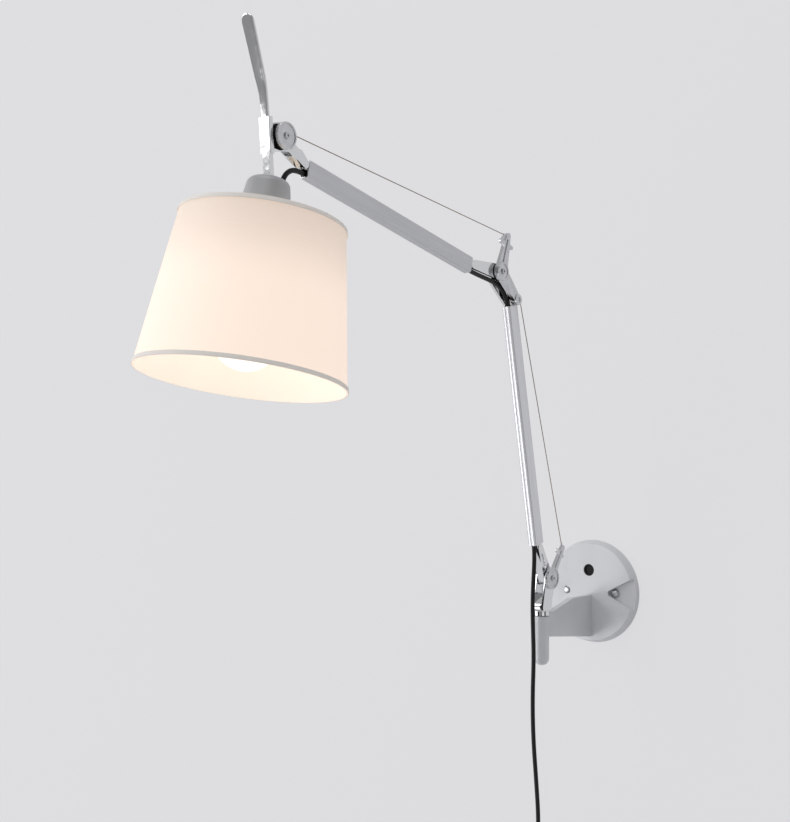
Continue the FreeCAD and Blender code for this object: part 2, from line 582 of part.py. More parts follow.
elbow_lever = new_body("elbow_lever", elbow)
guide_spot = ("elbow_out - guide_out", "-guide_below")
elbow_tip = ("elbow_lever_length * sin(elbow_lever_lean)", "elbow_lever_length * cos(elbow_lever_lean)")
lever_depth = f"(cable_plane + lever_thick / 2 - {near_face})"
plate(elbow_lever, near_face, lever_depth, lambda s: link(s, ("0", "0"), "elbow_disc_radius - disc_bevel",
                                                         elbow_tip, "lever_tip_radius"))
plate(elbow_lever, near_face, lever_depth, lambda s: link(s, ("0", "0"), "elbow_disc_radius - 2 * disc_bevel",
                                                         guide_spot, "guide_arm_radius"))
plate(elbow_lever, near_face, f"{lever_depth} + disc_proud", lambda s: circle(s, "0", "0", "elbow_disc_radius"))
plate(elbow_lever, lever_back, "lever_thick", lambda s: link(
    s, on_lever("elbow_cross_at", "-elbow_cross_half", "elbow_lever_lean"), "cross_radius + 0.4",
    on_lever("elbow_cross_at", "elbow_cross_half - 2", "elbow_lever_lean"), "cross_radius + 0.2"))
horn_spot = on_lever("elbow_cross_at + horn_rise", "-elbow_cross_half + horn_run", "elbow_lever_lean")
plate(elbow_lever, "cable_plane - horn_thick / 2", "horn_thick", lambda s: link(
    s, on_lever("elbow_cross_at", "-elbow_cross_half", "elbow_lever_lean"), "horn_root_radius",
    horn_spot, "horn_tip_radius"))
plate(elbow_lever, "cable_plane", "lever_thick / 2 + rib_proud", lambda s: link(
    s, ("0", "0"), "rib_root_radius", on_lever("elbow_lever_length - rib_stop", "0", "elbow_lever_lean"),
    "rib_tip_radius"))
bevel_disc(elbow_lever, disc_front, "elbow_disc_radius")
cut(elbow_lever, f"{disc_front} - disc_dish", "disc_proud",
    lambda s: circle(s, "0", "0", "elbow_disc_radius - disc_rim"))
cut(elbow_lever, "0", "reach", lambda s: circle(s, "0", "0", "joint_screw_dia / 2"))
guide_back = "(cable_plane - guide_core / 2 - guide_flange + joint_gap)"
cut(elbow_lever, guide_back, "reach", lambda s: circle(s, *guide_spot, "guide_radius + bearing_gap"))

joint_screw("elbow_screw", elbow, f"({disc_front} - disc_dish)", elbow_far)
washers("elbow_washers", elbow)

guide = new_body("cable_guide", elbow)
plate(guide, guide_back, "guide_flange", lambda s: circle(s, *guide_spot, "guide_radius"))
plate(guide, "cable_plane - guide_core / 2", "guide_core", lambda s: circle(s, *guide_spot, "guide_groove"))
guide_front = "(cable_plane + guide_core / 2 - joint_gap)"
plate(guide, guide_front, "guide_face", lambda s: circle(s, *guide_spot, "guide_radius"))
cut(guide, f"{guide_front} + guide_face / 2", "guide_face", lambda s: circle(s, *guide_spot, "guide_dish_radius"))

# ---- upper arm ------------------------------------------------------------------------------------
arm_tube("upper_tube", upper, "upper_offset", "upper_start", upper_length)

tail = new_body("upper_tail", upper)
tail_end = (f"-upper_offset + ({bore_inner} - {plug_outer}) / 2", "upper_start - root_step")
plate(tail, "-tongue_half", "2 * tongue_half", lambda s: link(s, ("0", "0"), "barrel_radius", tail_end, "root_radius"))
tube_plug(tail, "upper_offset", "upper_start - root_pad", "plug_depth + root_pad")
cut(tail, "-tongue_half", "2 * tongue_half", lambda s: circle(s, "0", "0", "joint_screw_dia / 2 + bearing_gap"))

head_spot = ("head_up", "head_along")
upper_end = "(head_along - upper_short)"
cheek_back = "(lug_half + lug_side_gap)"
cheek_front = f"({cheek_back} + fork_cheek)"
head_fork = new_body("head_fork", upper)
tube_plug(head_fork, "upper_offset", f"{upper_end} - plug_depth", "plug_depth + root_pad")
fork_start = (f"-upper_offset + ({bore_inner} - {plug_outer}) / 2", f"{upper_end} + fork_start")
for start in (cheek_back, f"-{cheek_front}"):
    plate(head_fork, start, "fork_cheek", lambda s: link(s, fork_start, "fork_height / 2", head_spot,
                                                        "fork_height / 2 + fork_eye_extra"))
web_end = ("(head_up - upper_offset) / 2 + 1", f"{upper_end} + fork_web")
plate(head_fork, f"-{cheek_front}", f"2 * {cheek_front}",
      lambda s: link(s, fork_start, "fork_height / 2", web_end, "fork_height / 2"))
cut(head_fork, f"-{cheek_back}", f"2 * {cheek_back}", lambda s: circle(s, *head_spot, "lug_radius + lug_room"))
cut(head_fork, f"-{cheek_front}", "reach", lambda s: circle(s, *head_spot, "joint_screw_dia / 2"))

ring = new_body("knob_ring", head_joint)
plate(ring, cheek_front, "ring_thick", lambda s: circle(s, "0", "0", "ring_radius"))
cut(ring, "0", "reach", lambda s: circle(s, "0", "0", "joint_screw_dia / 2"))

knob_back = f"({cheek_front} + ring_thick + hub_thick)"
knob = new_body("head_knob", head_joint)
plate(knob, f"{cheek_front} + ring_thick", "hub_thick + joint_gap", lambda s: circle(s, "0", "0", "hub_radius"))
plate(knob, knob_back, "knob_thick", lambda s: circle(s, "0", "0", "knob_radius"))
bevel_disc(knob, f"{knob_back} + knob_thick", "knob_radius", "knob_bevel")
cut(knob, f"{knob_back} + knob_thick - knob_dish", "knob_thick",
    lambda s: circle(s, "0", "0", "knob_radius - knob_rim"))
cut(knob, "0", "reach", lambda s: circle(s, "0", "0", "joint_screw_dia / 2"))
flute = new_sketch(knob, "YZ", knob_back)
circle(flute, "0", "knob_radius + flute_radius / 3", "flute_radius")
flute_cut = pocket(knob, flute, "knob_thick", reverse=True)
flutes = knob.newObject("PartDesign::PolarPattern", "knob_flutes_pattern")
flutes.Originals = [flute_cut]
flutes.Axis = (flute, ["N_Axis"])
flutes.Angle = 360
flutes.Occurrences = int(size("knob_flutes"))
flutes.setExpression("Occurrences", bound("knob_flutes"))
knob.Tip = flutes
joint_screw("head_screw", head_joint, f"({knob_back} + knob_thick - knob_dish)", f"-{cheek_front}")

# ---- head -----------------------------------------------------------------------------------------
head_block = new_body("head_block", block)
block_sketch = new_sketch(head_block, "XY", "-block_bottom")
rounded_box(block_sketch, "0", "-block_front + block_thick / 2", "block_width", "block_thick", "block_round")
pad(head_block, block_sketch, "block_bottom + block_top")
plate(head_block, "-lug_half", "2 * lug_half", lambda s: link(
    s, ("0", "0"), "lug_radius", ("-block_front + lug_root", "0"), "lug_radius - block_round"))
cup_tilt = "(block_lean + shade_lean)"


def on_cup(y):
    """The height in the block's frame at which a line at depth y meets the cup's flat top."""
    return f"((-cup_top - ({y}) * sin({cup_tilt})) / cos({cup_tilt}))"


stem_front, stem_back = "(-block_front + stem_inset)", "(-block_front + stem_thick)"
stem_sketch = new_sketch(head_block, "YZ")
outline(stem_sketch, [(stem_front, on_cup(stem_front)), (stem_back, on_cup(stem_back)),
                      (stem_back, "-block_bottom + 1"), (stem_front, "-block_bottom + 1")])
pad(head_block, stem_sketch, "stem_width", symmetric=True)
cut(head_block, "-lug_half", "2 * lug_half", lambda s: circle(s, "0", "0", "joint_screw_dia / 2 + bearing_gap"))


def handle_shape():
    """The paddle handle: lofted oblongs that widen and lean outwards to a rounded tip."""
    front, foot_z = -size("block_front") + 0.4, size("block_top")
    wide, tip_wide, thick = size("handle_width"), size("handle_tip_width"), size("handle_thick")
    far, tall = size("handle_reach"), size("handle_rise")
    stations = [(0, 0, 0, 0), (0.25 * tall, -0.06 * far, 5, 0.1), (0.42 * tall, -0.25 * far, 12, 0.6),
                (0.75 * tall, -0.67 * far, 14, 0.8), (tall, -far, 14, 1)]
    wires = []
    for rise, shift, lean, share in stations:
        half = (wide + (tip_wide - wide) * share) / 2
        centre = Vector(0, front + thick / 2 + shift, foot_z + rise)
        turn = Rotation(Vector(1, 0, 0), lean)
        corners = [centre + turn.multVec(Vector(x, y, 0)) for x, y in (
            (-half + 1, -thick / 2), (half - 1, -thick / 2), (half, 0), (half - 1, thick / 2),
            (-half + 1, thick / 2), (-half, 0))]
        wires.append(Part.makePolygon(corners + [corners[0]]))
    blade = Part.makeLoft(wires, True, False)
    turn = Rotation(Vector(1, 0, 0), 14)
    centre = Vector(0, front + thick / 2 - far, foot_z + tall)
    cap = Part.makeCylinder(tip_wide / 2 - 0.2, thick, Vector(0, -thick / 2, 0), Vector(0, 1, 0))
    cap = cap.common(Part.makeBox(2 * tip_wide, 4 * thick, tip_wide, Vector(-tip_wide, -2 * thick, -0.05)))
    cap.Placement = Placement(centre, turn)
    return blade.fuse(cap).removeSplitter()


coded("head_handle", handle_shape(), block)

cup = new_body("socket_cup", shade)
cup_low = "(-cup_top - cup_height)"
revolve(cup, lambda s: outline(s, [
    ("0", "-cup_top"), ("cup_shoulder_radius", "-cup_top"), ("cup_dia / 2", cup_low),
    ("cup_dia / 2 - cup_wall", cup_low),
    ("cup_shoulder_radius - cup_wall", "-cup_top - cup_inner_drop - cup_wall"),
    ("cup_inner_flat", "-cup_top - 2 * cup_wall"), ("0", "-cup_top - 2 * cup_wall")]))
soften(cup, "Fillet", "cup_round", lambda e: isinstance(e.Curve, Part.Circle)
       and abs(e.Curve.Radius - size("cup_shoulder_radius")) < 0.01)
cut(cup, "-cup_top - cup_inner_drop - 2 * cup_wall", "cup_height",
    lambda s: circle(s, "0", "lead_entry", "lead_dia / 2 + lead_clear"), "XY")

holder = new_body("lamp_holder", shade)
holder_low = "(-holder_top - holder_length)"
revolve(holder, lambda s: outline(s, [
    ("0", "-holder_top"), ("holder_dia / 2", "-holder_top"), ("holder_dia / 2", holder_low),
    ("holder_bore / 2", holder_low), ("holder_bore / 2", "-holder_top - holder_floor"),
    ("0", "-holder_top - holder_floor")]))
holder_bracket = new_sketch(holder, "XY", "-holder_top")
rounded_box(holder_bracket, "0", "0", "holder_foot", "holder_foot", "holder_foot_round")
pad(holder, holder_bracket, "holder_top - cup_top - 2 * cup_wall - 2 * bearing_gap")

carrier_z = "(-shade_top - carrier_drop)"
holder_radius = size("holder_dia") / 2


def carrier_shape():
    """The fitter: a ring round the holder and three wire arms up to the top wire of the shade."""
    level = -size("shade_top") - size("carrier_drop")
    wire = size("carrier_wire")
    hole = holder_radius + 0.25
    shape = cylinder((0, 0, level), (0, 0, 1), hole + size("carrier_ring_width"), wire / 2)
    shape = shape.cut(cylinder((0, 0, level - 1), (0, 0, 1), hole, wire + 2))
    rim = size("shade_top_dia") / 2 - size("fabric_thick") - wire / 2
    rim_level = -size("shade_top") - size("rim_height") / 2
    hoop = Part.makeTorus(rim, wire / 2, Vector(0, 0, rim_level))
    shape = shape.fuse(hoop)
    for angle in (90, 210, 330):
        out = Vector(math.cos(math.radians(angle)), math.sin(math.radians(angle)), 0)
        start = out * (hole + size("carrier_ring_width") / 2) + Vector(0, 0, level + wire / 2)
        end = out * rim + Vector(0, 0, rim_level)
        arm = Part.makeCylinder(wire / 2 - 0.2, start.distanceToPoint(end), start, end - start)
        shape = shape.fuse(arm)
    return shape


coded("shade_carrier", carrier_shape(), shade)

nut = new_body("shade_nut", shade)
nut_sketch = new_sketch(nut, "XY", f"{carrier_z} - nut_height - bearing_gap")
circle(nut_sketch, "0", "0", "holder_dia / 2 + nut_wall")
circle(nut_sketch, "0", "0", "holder_dia / 2 + 0.02")
pad(nut, nut_sketch, "nut_height")

shade_low = "(-shade_top - shade_height)"
slope = "(shade_bottom_dia - shade_top_dia) / 2 / shade_height"
fabric = new_body("shade_fabric", shade)
revolve(fabric, lambda s: outline(s, [
    ("shade_top_dia / 2", "-shade_top"), ("shade_bottom_dia / 2", shade_low),
    ("shade_bottom_dia / 2 - fabric_thick", shade_low), ("shade_top_dia / 2 - fabric_thick", "-shade_top")]))


def rim_band(label, radius, top, drift):
    """A narrow trim band over the fabric's edge."""
    item = new_body(label, shade)
    low = f"{top} - rim_height"
    spread = f"({drift} + rim_height * {slope})"
    revolve(item, lambda s: outline(s, [
        (f"{radius} + 0.05", top), (f"{radius} + rim_thick", top), (f"{radius} + {spread} + rim_thick", low),
        (f"{radius} + {spread} + 0.05", low)]))


rim_band("shade_top_ring", "shade_top_dia / 2", "-shade_top", "0")
rim_band("shade_bottom_ring", f"shade_bottom_dia / 2 - rim_height * {slope}", f"{shade_low} + rim_height", "0")


def bulb_shape():
    """The lit globe: a ball drawn in to its neck, as one turned outline."""
    radius, bottom = size("bulb_dia") / 2, -size("bulb_bottom")
    centre = bottom + radius
    neck = size("bulb_neck_dia") / 2
    neck_z = -size("holder_top") - size("holder_floor") - size("bulb_cap_length") - 2
    away = math.radians(35)
    leave = Vector(0, radius * math.cos(away), centre + radius * math.sin(away))
    middle = Vector(0, radius * math.cos(math.radians(-30)), centre + radius * math.sin(math.radians(-30)))
    ball = Part.Arc(Vector(0, 0, bottom), middle, leave).toShape()
    bend = Vector(0, (leave.y + neck) / 2 - 1.2, (leave.z + neck_z) / 2)
    shoulder_arc = Part.Arc(leave, bend, Vector(0, neck, neck_z)).toShape()
    top = Part.makePolygon([Vector(0, neck, neck_z), Vector(0, 0, neck_z), Vector(0, 0, bottom)])
    face = Part.Face(Part.Wire([ball, shoulder_arc] + top.Edges))
    return face.revolve(Vector(0, 0, 0), Vector(0, 0, 1), 360)


coded("bulb_globe", bulb_shape(), shade)
cap = new_body("bulb_cap", shade)
cap_top = "(-holder_top - holder_floor - 0.2)"
cap_low = "(-holder_top - holder_floor - bulb_cap_length - 2)"
revolve(cap, lambda s: outline(s, [
    ("0", cap_top), ("5", cap_top), ("bulb_cap_dia / 2", f"{cap_top} - 3"), ("bulb_cap_dia / 2", cap_low),
    ("0", cap_low)]))

# ---- springs, cables and leads ----------------------------------------------------------------------


def spring_core(label, frame, offset, start, length):
    """The balance spring's closed outer shape inside the tube, beside the lead."""
    y = -size(offset) + (value(bore_inner) - value(plug_outer)) / 2
    radius = 3.4
    coded(label, cylinder((0, y, start), (0, 0, 1), radius, length), frame)


plug_end = size("lower_start") + size("plug_depth")
spring_core("lower_spring", lower, "tube_offset", plug_end, value(lower_length) - 2 * size("plug_depth"))
plug_end = size("upper_start") + size("plug_depth")
spring_core("upper_spring", upper, "upper_offset", plug_end, value(upper_length) - 2 * size("plug_depth"))


def in_frame(frame, x, y, z):
    """A point of a frame, in the lamp's own frame."""
    return framed(frame).multVec(Vector(x, y, z))


def steel_cable(label, start, end):
    coded(label, Part.makeCylinder(size("cable_dia") / 2, start.distanceToPoint(end), start, end - start))


lever_hook = in_frame(shoulder, size("cable_plane"), value(tip_spot[0]), value(tip_spot[1]))
guide_point = in_frame(elbow, size("cable_plane"), value(guide_spot[0]) + size("guide_groove")
                       + size("cable_dia") / 2 + 0.05, value(guide_spot[1]))
steel_cable("lower_cable", lever_hook + Vector(0, -1.2, size("lever_tip_radius") + 0.1), guide_point)
horn_point = in_frame(elbow, size("cable_plane"), value(horn_spot[0]), value(horn_spot[1]))
hub_point = in_frame(head_joint, size("cable_plane") - 0.1, size("hub_radius") + size("cable_dia") / 2 + 0.1, 0)
toward = (hub_point - horn_point).normalize()
steel_cable("upper_cable", horn_point + toward * 1.5, hub_point)


def cord_route(points):
    """Straight runs joined by tangent arcs of 0.45 of the shorter run; returns edges and radii."""
    edges, radii = [], []
    start = points[0]
    for before, corner, after in zip(points, points[1:], points[2:]):
        come, leave = (corner - before), (after - corner)
        share = 0.45 * min(come.Length, leave.Length)
        turn = come.getAngle(leave)
        radii.append(share / math.tan(turn / 2))
        come.normalize()
        leave.normalize()
        first, last = corner - come * share, corner + leave * share
        bisector = (leave - come).normalize()
        middle = corner + bisector * (radii[-1] * (1 / math.cos(turn / 2) - 1))
        edges.append(Part.LineSegment(start, first).toShape())
        edges.append(Part.Arc(first, middle, last).toShape())
        start = last
    edges.append(Part.LineSegment(start, points[-1]).toShape())
    return edges, radii


def cord_tube(label, points, diameter):
    """A round cord along a route, its volume checked against section times length."""
    edges, radii = cord_route(points)
    wire = Part.Wire(edges)
    ring = Part.Circle(points[0], points[1] - points[0], diameter / 2)
    shape = wire.makePipeShell([Part.Wire([ring.toShape()])], True, False)
    exact = wire.Length * math.pi * diameter ** 2 / 4
    print(label, "length", round(wire.Length, 1), "radii", [round(r, 1) for r in radii],
          "volume ratio", round(shape.Volume / exact, 4))
    return coded(label, shape)


lead = size("lead_dia")
low_lead_y = -size("tube_offset") - value(lead_out)
up_lead_y = -size("upper_offset") - value(lead_out)
for label, frame, y, start, length in (
        ("lower_lead", lower, low_lead_y, "lower_start", lower_length),
        ("upper_lead", upper, up_lead_y, "upper_start", upper_length)):
    coded(label, cylinder((0, y, size(start) + 1), (0, 0, 1), lead / 2, value(length) - 2), frame)

mouth = value(tube_end) - 1
cord_tube("elbow_lead", [
    in_frame(lower, 0, low_lead_y, mouth), in_frame(lower, 0, low_lead_y, mouth + 8),
    in_frame(lower, 0, low_lead_y - 4.8, mouth + 18.5), in_frame(lower, 0, low_lead_y - 16, mouth + 28),
    in_frame(upper, 0, up_lead_y, size("upper_start") - 11),
    in_frame(upper, 0, up_lead_y, size("upper_start") + 1)], lead)

outlet = value(upper_end) - 1
entry, top = size("lead_entry"), -size("cup_top")
cord_tube("head_lead", [
    in_frame(upper, 0, up_lead_y, outlet), in_frame(upper, 0, up_lead_y, outlet + 8.5),
    in_frame(shade, 0, entry + 7.5, top + 17), in_frame(shade, 0, entry, top + 6.5),
    in_frame(shade, 0, entry, top - 4)], lead)

# the cord that leaves the lower tube's end and hangs in front of the swivel tube
exit_point = in_frame(lower, 0, low_lead_y, size("lower_start") + 1)
hang_y = exit_point.y - 1.6
exit_low = Vector(0, hang_y, -30)
exit_bend = Vector(-0.4, hang_y - 0.3, -8)
cord_tube("cord_exit", [
    exit_point, in_frame(lower, 0, low_lead_y, size("lower_start") - 10), Vector(0, hang_y, 14),
    exit_bend, exit_low], lead)

coil_centre = Vector(size("coil_outer_radius") + 1, -128, -size("coil_drop"))
coil_top = coil_centre + Vector(-size("coil_outer_radius"), 0, 0)
straight = lead * 1.2
cord_tube("supply_cord", [
    exit_low, exit_low + (exit_low - exit_bend).normalize() * 34,
    Vector(-0.6, hang_y - 0.4, -108), Vector(0.2, hang_y, -152),
    Vector(1.4, hang_y + 4, -198), Vector(2.4, hang_y + 7.4, -244), Vector(1.6, coil_top.y, -288),
    Vector(coil_top.x, coil_top.y, -322), coil_top + Vector(0, 0, straight)], lead)


def biarc(start, start_way, end, end_way):
    """Two tangent arcs between two points with given directions."""
    across = end - start
    both = start_way + end_way
    a = 2 * (1 - start_way.dot(end_way))
    b = 2 * across.dot(both)
    c = -across.dot(across)
    reach_each = (-b + math.sqrt(b * b - 4 * a * c)) / (2 * a)
    knee_a = start + start_way * reach_each
    knee_b = end - end_way * reach_each
    joint = (knee_a + knee_b) * 0.5
    way = (knee_b - knee_a).normalize()
    return [arc_edge(start, start_way, joint), arc_edge(joint, way, end)]


def arc_edge(start, way, end):
    """The arc from start, leaving along way, to end."""
    chord = end - start
    normal = way.cross(chord).cross(way).normalize()
    radius = chord.dot(chord) / (2 * chord.dot(normal))
    centre = start + normal * radius
    middle_way = ((start - centre) + (end - centre)).normalize()
    return Part.Arc(start, centre + middle_way * radius, end).toShape()


def coil_point(quarter):
    """A point and direction of the coil after some quarter turns, from its left side going down."""
    turns_in, pitch = size("coil_turns_in_layer"), size("coil_pitch")
    per_layer = 4 * turns_in
    layer = min(int(quarter // per_layer), int(size("coil_layers")) - 1)
    into = quarter - layer * per_layer
    inward = into / 4 * pitch
    radius = size("coil_outer_radius") - (inward if layer % 2 == 0 else turns_in * pitch - inward)
    climb = 0.5 + 0.5 * math.cos(math.pi * min(max(per_layer - into, 0), 1)) if layer < size("coil_layers") - 1 else 0
    depth = (layer + (climb if per_layer - into < 1 else 0)) * pitch
    angle = math.pi + quarter * math.pi / 2
    return Vector(math.cos(angle) * radius, depth, math.sin(angle) * radius)


def coil_way(quarter):
    """The direction of the coil at a quarter turn: square to the radius, in the layer's plane."""
    angle = math.pi + quarter * math.pi / 2
    return Vector(-math.sin(angle), 0, math.cos(angle))


def coil_shape():
    quarters = int(4 * size("coil_turns_in_layer") * size("coil_layers"))
    spots = [coil_centre + coil_point(q) for q in range(quarters + 1)]
    ways = [coil_way(q) for q in range(quarters + 1)]
    edges = [Part.LineSegment(spots[0] + Vector(0, 0, straight), spots[0]).toShape()]
    for q in range(quarters):
        edges += biarc(spots[q], ways[q], spots[q + 1], ways[q + 1])
    tail = spots[-1] - Vector(0, 0, size("coil_tail"))
    edges.append(Part.LineSegment(spots[-1], tail).toShape())
    wire = Part.Wire(edges)
    ring = Part.Circle(spots[0] + Vector(0, 0, straight), Vector(0, 0, -1), lead / 2)
    shape = wire.makePipeShell([Part.Wire([ring.toShape()])], True, False)
    points = wire.discretize(Distance=2.0)
    near = min((a.distanceToPoint(b) for i, a in enumerate(points) for b in points[i + 12:]), default=99)
    print("cord_coil length", round(wire.Length, 1), "least gap to itself", round(near - lead, 2),
          "volume ratio", round(shape.Volume / (wire.Length * math.pi * lead ** 2 / 4), 4))
    return shape, tail


coil, coil_end = coil_shape()
coded("cord_coil", coil)


def tie_shape():
    """The band round the coil's turns at its right side."""
    pitch, layers = size("coil_pitch"), size("coil_layers")
    inner_x = size("coil_outer_radius") - size("coil_turns_in_layer") * pitch - lead / 2 - 0.5
    outer_x = size("coil_outer_radius") + lead / 2 + 0.7
    low_y, high_y = -lead / 2 - 0.4, (layers - 1) * pitch + lead / 2 + 0.4
    thick, wide = size("tie_thick"), size("tie_width")
    outer = Part.makeBox(outer_x - inner_x + 2 * thick, high_y - low_y + 2 * thick, wide,
                         Vector(inner_x - thick, low_y - thick, -wide / 2))
    outer = outer.makeFillet(size("tie_round"), [e for e in outer.Edges if e.tangentAt(0).z ** 2 > 0.9])
    hole = Part.makeBox(outer_x - inner_x, high_y - low_y, wide, Vector(inner_x, low_y, -wide / 2))
    band = outer.cut(hole)
    band.translate(coil_centre)
    return band


coded("cord_tie", tie_shape())


def plug_shape():
    """The flat two-pin plug's moulded body, its neck meeting the cord's end."""
    length, wide, thick = size("plug_length"), size("plug_width"), size("plug_thick")
    wires = []
    neck = size("plug_neck")
    for drop, w, t in ((0, 1.75 * lead, 1.75 * lead), (0.6 * neck, 2 * lead, 2 * lead), (neck, wide * 0.8, thick),
                       (neck + 0.6 * length, wide, thick), (neck + length, wide, thick)):
        r = min(w, t) * 0.42
        box = Part.makeBox(w, t, 1, Vector(-w / 2, -t / 2, -drop))
        box = box.makeFillet(r, [e for e in box.Edges if abs(e.Vertexes[0].Z - e.Vertexes[1].Z) > 0.5])
        wires.append(box.Faces[[abs(f.CenterOfMass.z + drop) < 0.01 for f in box.Faces].index(True)].OuterWire)
    body = Part.makeLoft(wires, True, True)
    body.translate(coil_end)
    return body


coded("plug_body", plug_shape())
pin_top = coil_end - Vector(0, 0, size("plug_neck") + size("plug_length"))
pins = []
for side in (1, -1):
    base = pin_top + Vector(side * size("pin_spacing") / 2, 0, 0)
    pin = Part.makeCylinder(size("pin_dia") / 2, size("pin_length") - 2, base, Vector(0, 0, -1))
    tip = Part.makeSphere(size("pin_dia") / 2, base - Vector(0, 0, size("pin_length") - 2))
    pins.append(pin.fuse(tip))
coded("plug_pins", Part.makeCompound(pins))

# ---- check and write ----------------------------------------------------------------------------------
doc.recompute()
bad = [o.Label for o in doc.Objects if "Invalid" in o.State or "Error" in o.State]
for item in parts:
    if item.Shape.isNull() or not item.Shape.isValid():
        bad.append(item.Label + " shape")
if bad:
    raise RuntimeError("failed: " + ", ".join(bad))
os.makedirs("parts", exist_ok=True)
for item in parts:
    item.Shape.exportStep(os.path.join("parts", item.Label + ".step"))
print(len(parts), "parts written")
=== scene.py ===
import bmesh
import bpy
import math
from mathutils import Matrix, Vector


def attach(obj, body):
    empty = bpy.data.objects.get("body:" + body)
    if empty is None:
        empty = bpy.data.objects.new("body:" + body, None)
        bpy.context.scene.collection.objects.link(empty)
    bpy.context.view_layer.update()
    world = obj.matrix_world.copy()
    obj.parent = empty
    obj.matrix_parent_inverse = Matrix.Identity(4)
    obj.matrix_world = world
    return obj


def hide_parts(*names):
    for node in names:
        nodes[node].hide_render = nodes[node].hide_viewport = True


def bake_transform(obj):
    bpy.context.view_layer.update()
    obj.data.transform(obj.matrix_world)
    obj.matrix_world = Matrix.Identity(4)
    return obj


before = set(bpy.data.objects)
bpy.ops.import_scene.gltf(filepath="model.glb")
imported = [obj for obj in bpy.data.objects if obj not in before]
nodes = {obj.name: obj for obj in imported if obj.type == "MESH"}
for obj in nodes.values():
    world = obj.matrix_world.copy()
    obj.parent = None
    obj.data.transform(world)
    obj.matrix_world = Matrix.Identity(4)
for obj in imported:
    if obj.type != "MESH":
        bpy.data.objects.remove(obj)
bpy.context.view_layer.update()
print("frame loaded,", len(nodes), "nodes")

# the joints as (y, z) in metres, and how each part leans in degrees
poseSettings = {"shoulder": (-0.1071, 0.0247), "lowerLean": 11.33, "elbowOnLower": (-0.0305, 0.3468),
                "upperLean": 76, "headOnUpper": (0.0043, 0.348), "blockLean": 4.5,
                "shadeLean": -11.3, "shadeShift": 0.0035}


def armFrame(y, z, lean):
    return Matrix.Translation((0, y, z)) @ Matrix.Rotation(math.radians(lean), 4, "X")


# each part of the lamp has its own upright: the shoulder, the two arms, the head and the shade
shoulderFrame = armFrame(*poseSettings["shoulder"], 0)
lowerFrame = armFrame(*poseSettings["shoulder"], poseSettings["lowerLean"])
elbowFrame = lowerFrame @ Matrix.Translation((0, *poseSettings["elbowOnLower"]))
elbowPoint = elbowFrame.translation
upperFrame = armFrame(elbowPoint.y, elbowPoint.z, poseSettings["upperLean"])
headPoint = upperFrame @ Vector((0, *poseSettings["headOnUpper"]))
knobFrame = armFrame(headPoint.y, headPoint.z, poseSettings["upperLean"])
blockFrame = armFrame(headPoint.y, headPoint.z, poseSettings["blockLean"])
shadeLean = math.radians(poseSettings["shadeLean"])
shadeFrame = armFrame(headPoint.y - poseSettings["shadeShift"] * math.cos(shadeLean),
                      headPoint.z - poseSettings["shadeShift"] * math.sin(shadeLean), poseSettings["shadeLean"])

# the photograph's viewing angle, in metres, degrees and millimetres
cameraSettings = {"place": (0.8258, -1.4159, 0.1925), "turn": 38.496, "rise": 0.7, "lens": 60.06, "sensor": 36}
camera = bpy.data.objects.new("camera", bpy.data.cameras.new("camera"))
camera.location = cameraSettings["place"]
camera.rotation_euler = (math.radians(90 + cameraSettings["rise"]), 0, math.radians(cameraSettings["turn"]))
camera.data.lens = cameraSettings["lens"]
camera.data.sensor_width = cameraSettings["sensor"]
bpy.context.scene.collection.objects.link(camera)
bpy.context.scene.camera = camera
bpy.context.scene.view_settings.view_transform = "Standard"


def hexColour(text):
    # a web colour as the linear RGBA that the shaders take
    parts = [int(text[i:i + 2], 16) / 255 for i in (1, 3, 5)]
    return tuple(p / 12.92 if p <= 0.04045 else ((p + 0.055) / 1.055) ** 2.4 for p in parts) + (1.0,)


def addNode(tree, kind, inputs=(), out=0, into=None, **settings):
    # one node with its settings and links; its wanted output comes back, and may be linked into a socket
    node = tree.nodes.new(kind)
    for key, setting in settings.items():
        setattr(node, key, setting)
    for name, source in dict(inputs).items():
        if isinstance(source, bpy.types.NodeSocket):
            tree.links.new(source, node.inputs[name])
        else:
            node.inputs[name].default_value = source
    if into is not None:
        tree.links.new(node.outputs[out], into)
    return node.outputs[out]


def newFinish(name, colour, metallic, roughness):
    material = bpy.data.materials.new(name)
    material.use_nodes = True
    tree = material.node_tree
    shader = tree.nodes["Principled BSDF"]
    shader.inputs["Base Color"].default_value = hexColour(colour)
    shader.inputs["Metallic"].default_value = metallic
    shader.inputs["Roughness"].default_value = roughness
    where = addNode(tree, "ShaderNodeTexCoord", out="Object")
    return material, tree, shader, where


wavePitch = 0.314      # a wave texture at a scale of 1 repeats every 0.314 m


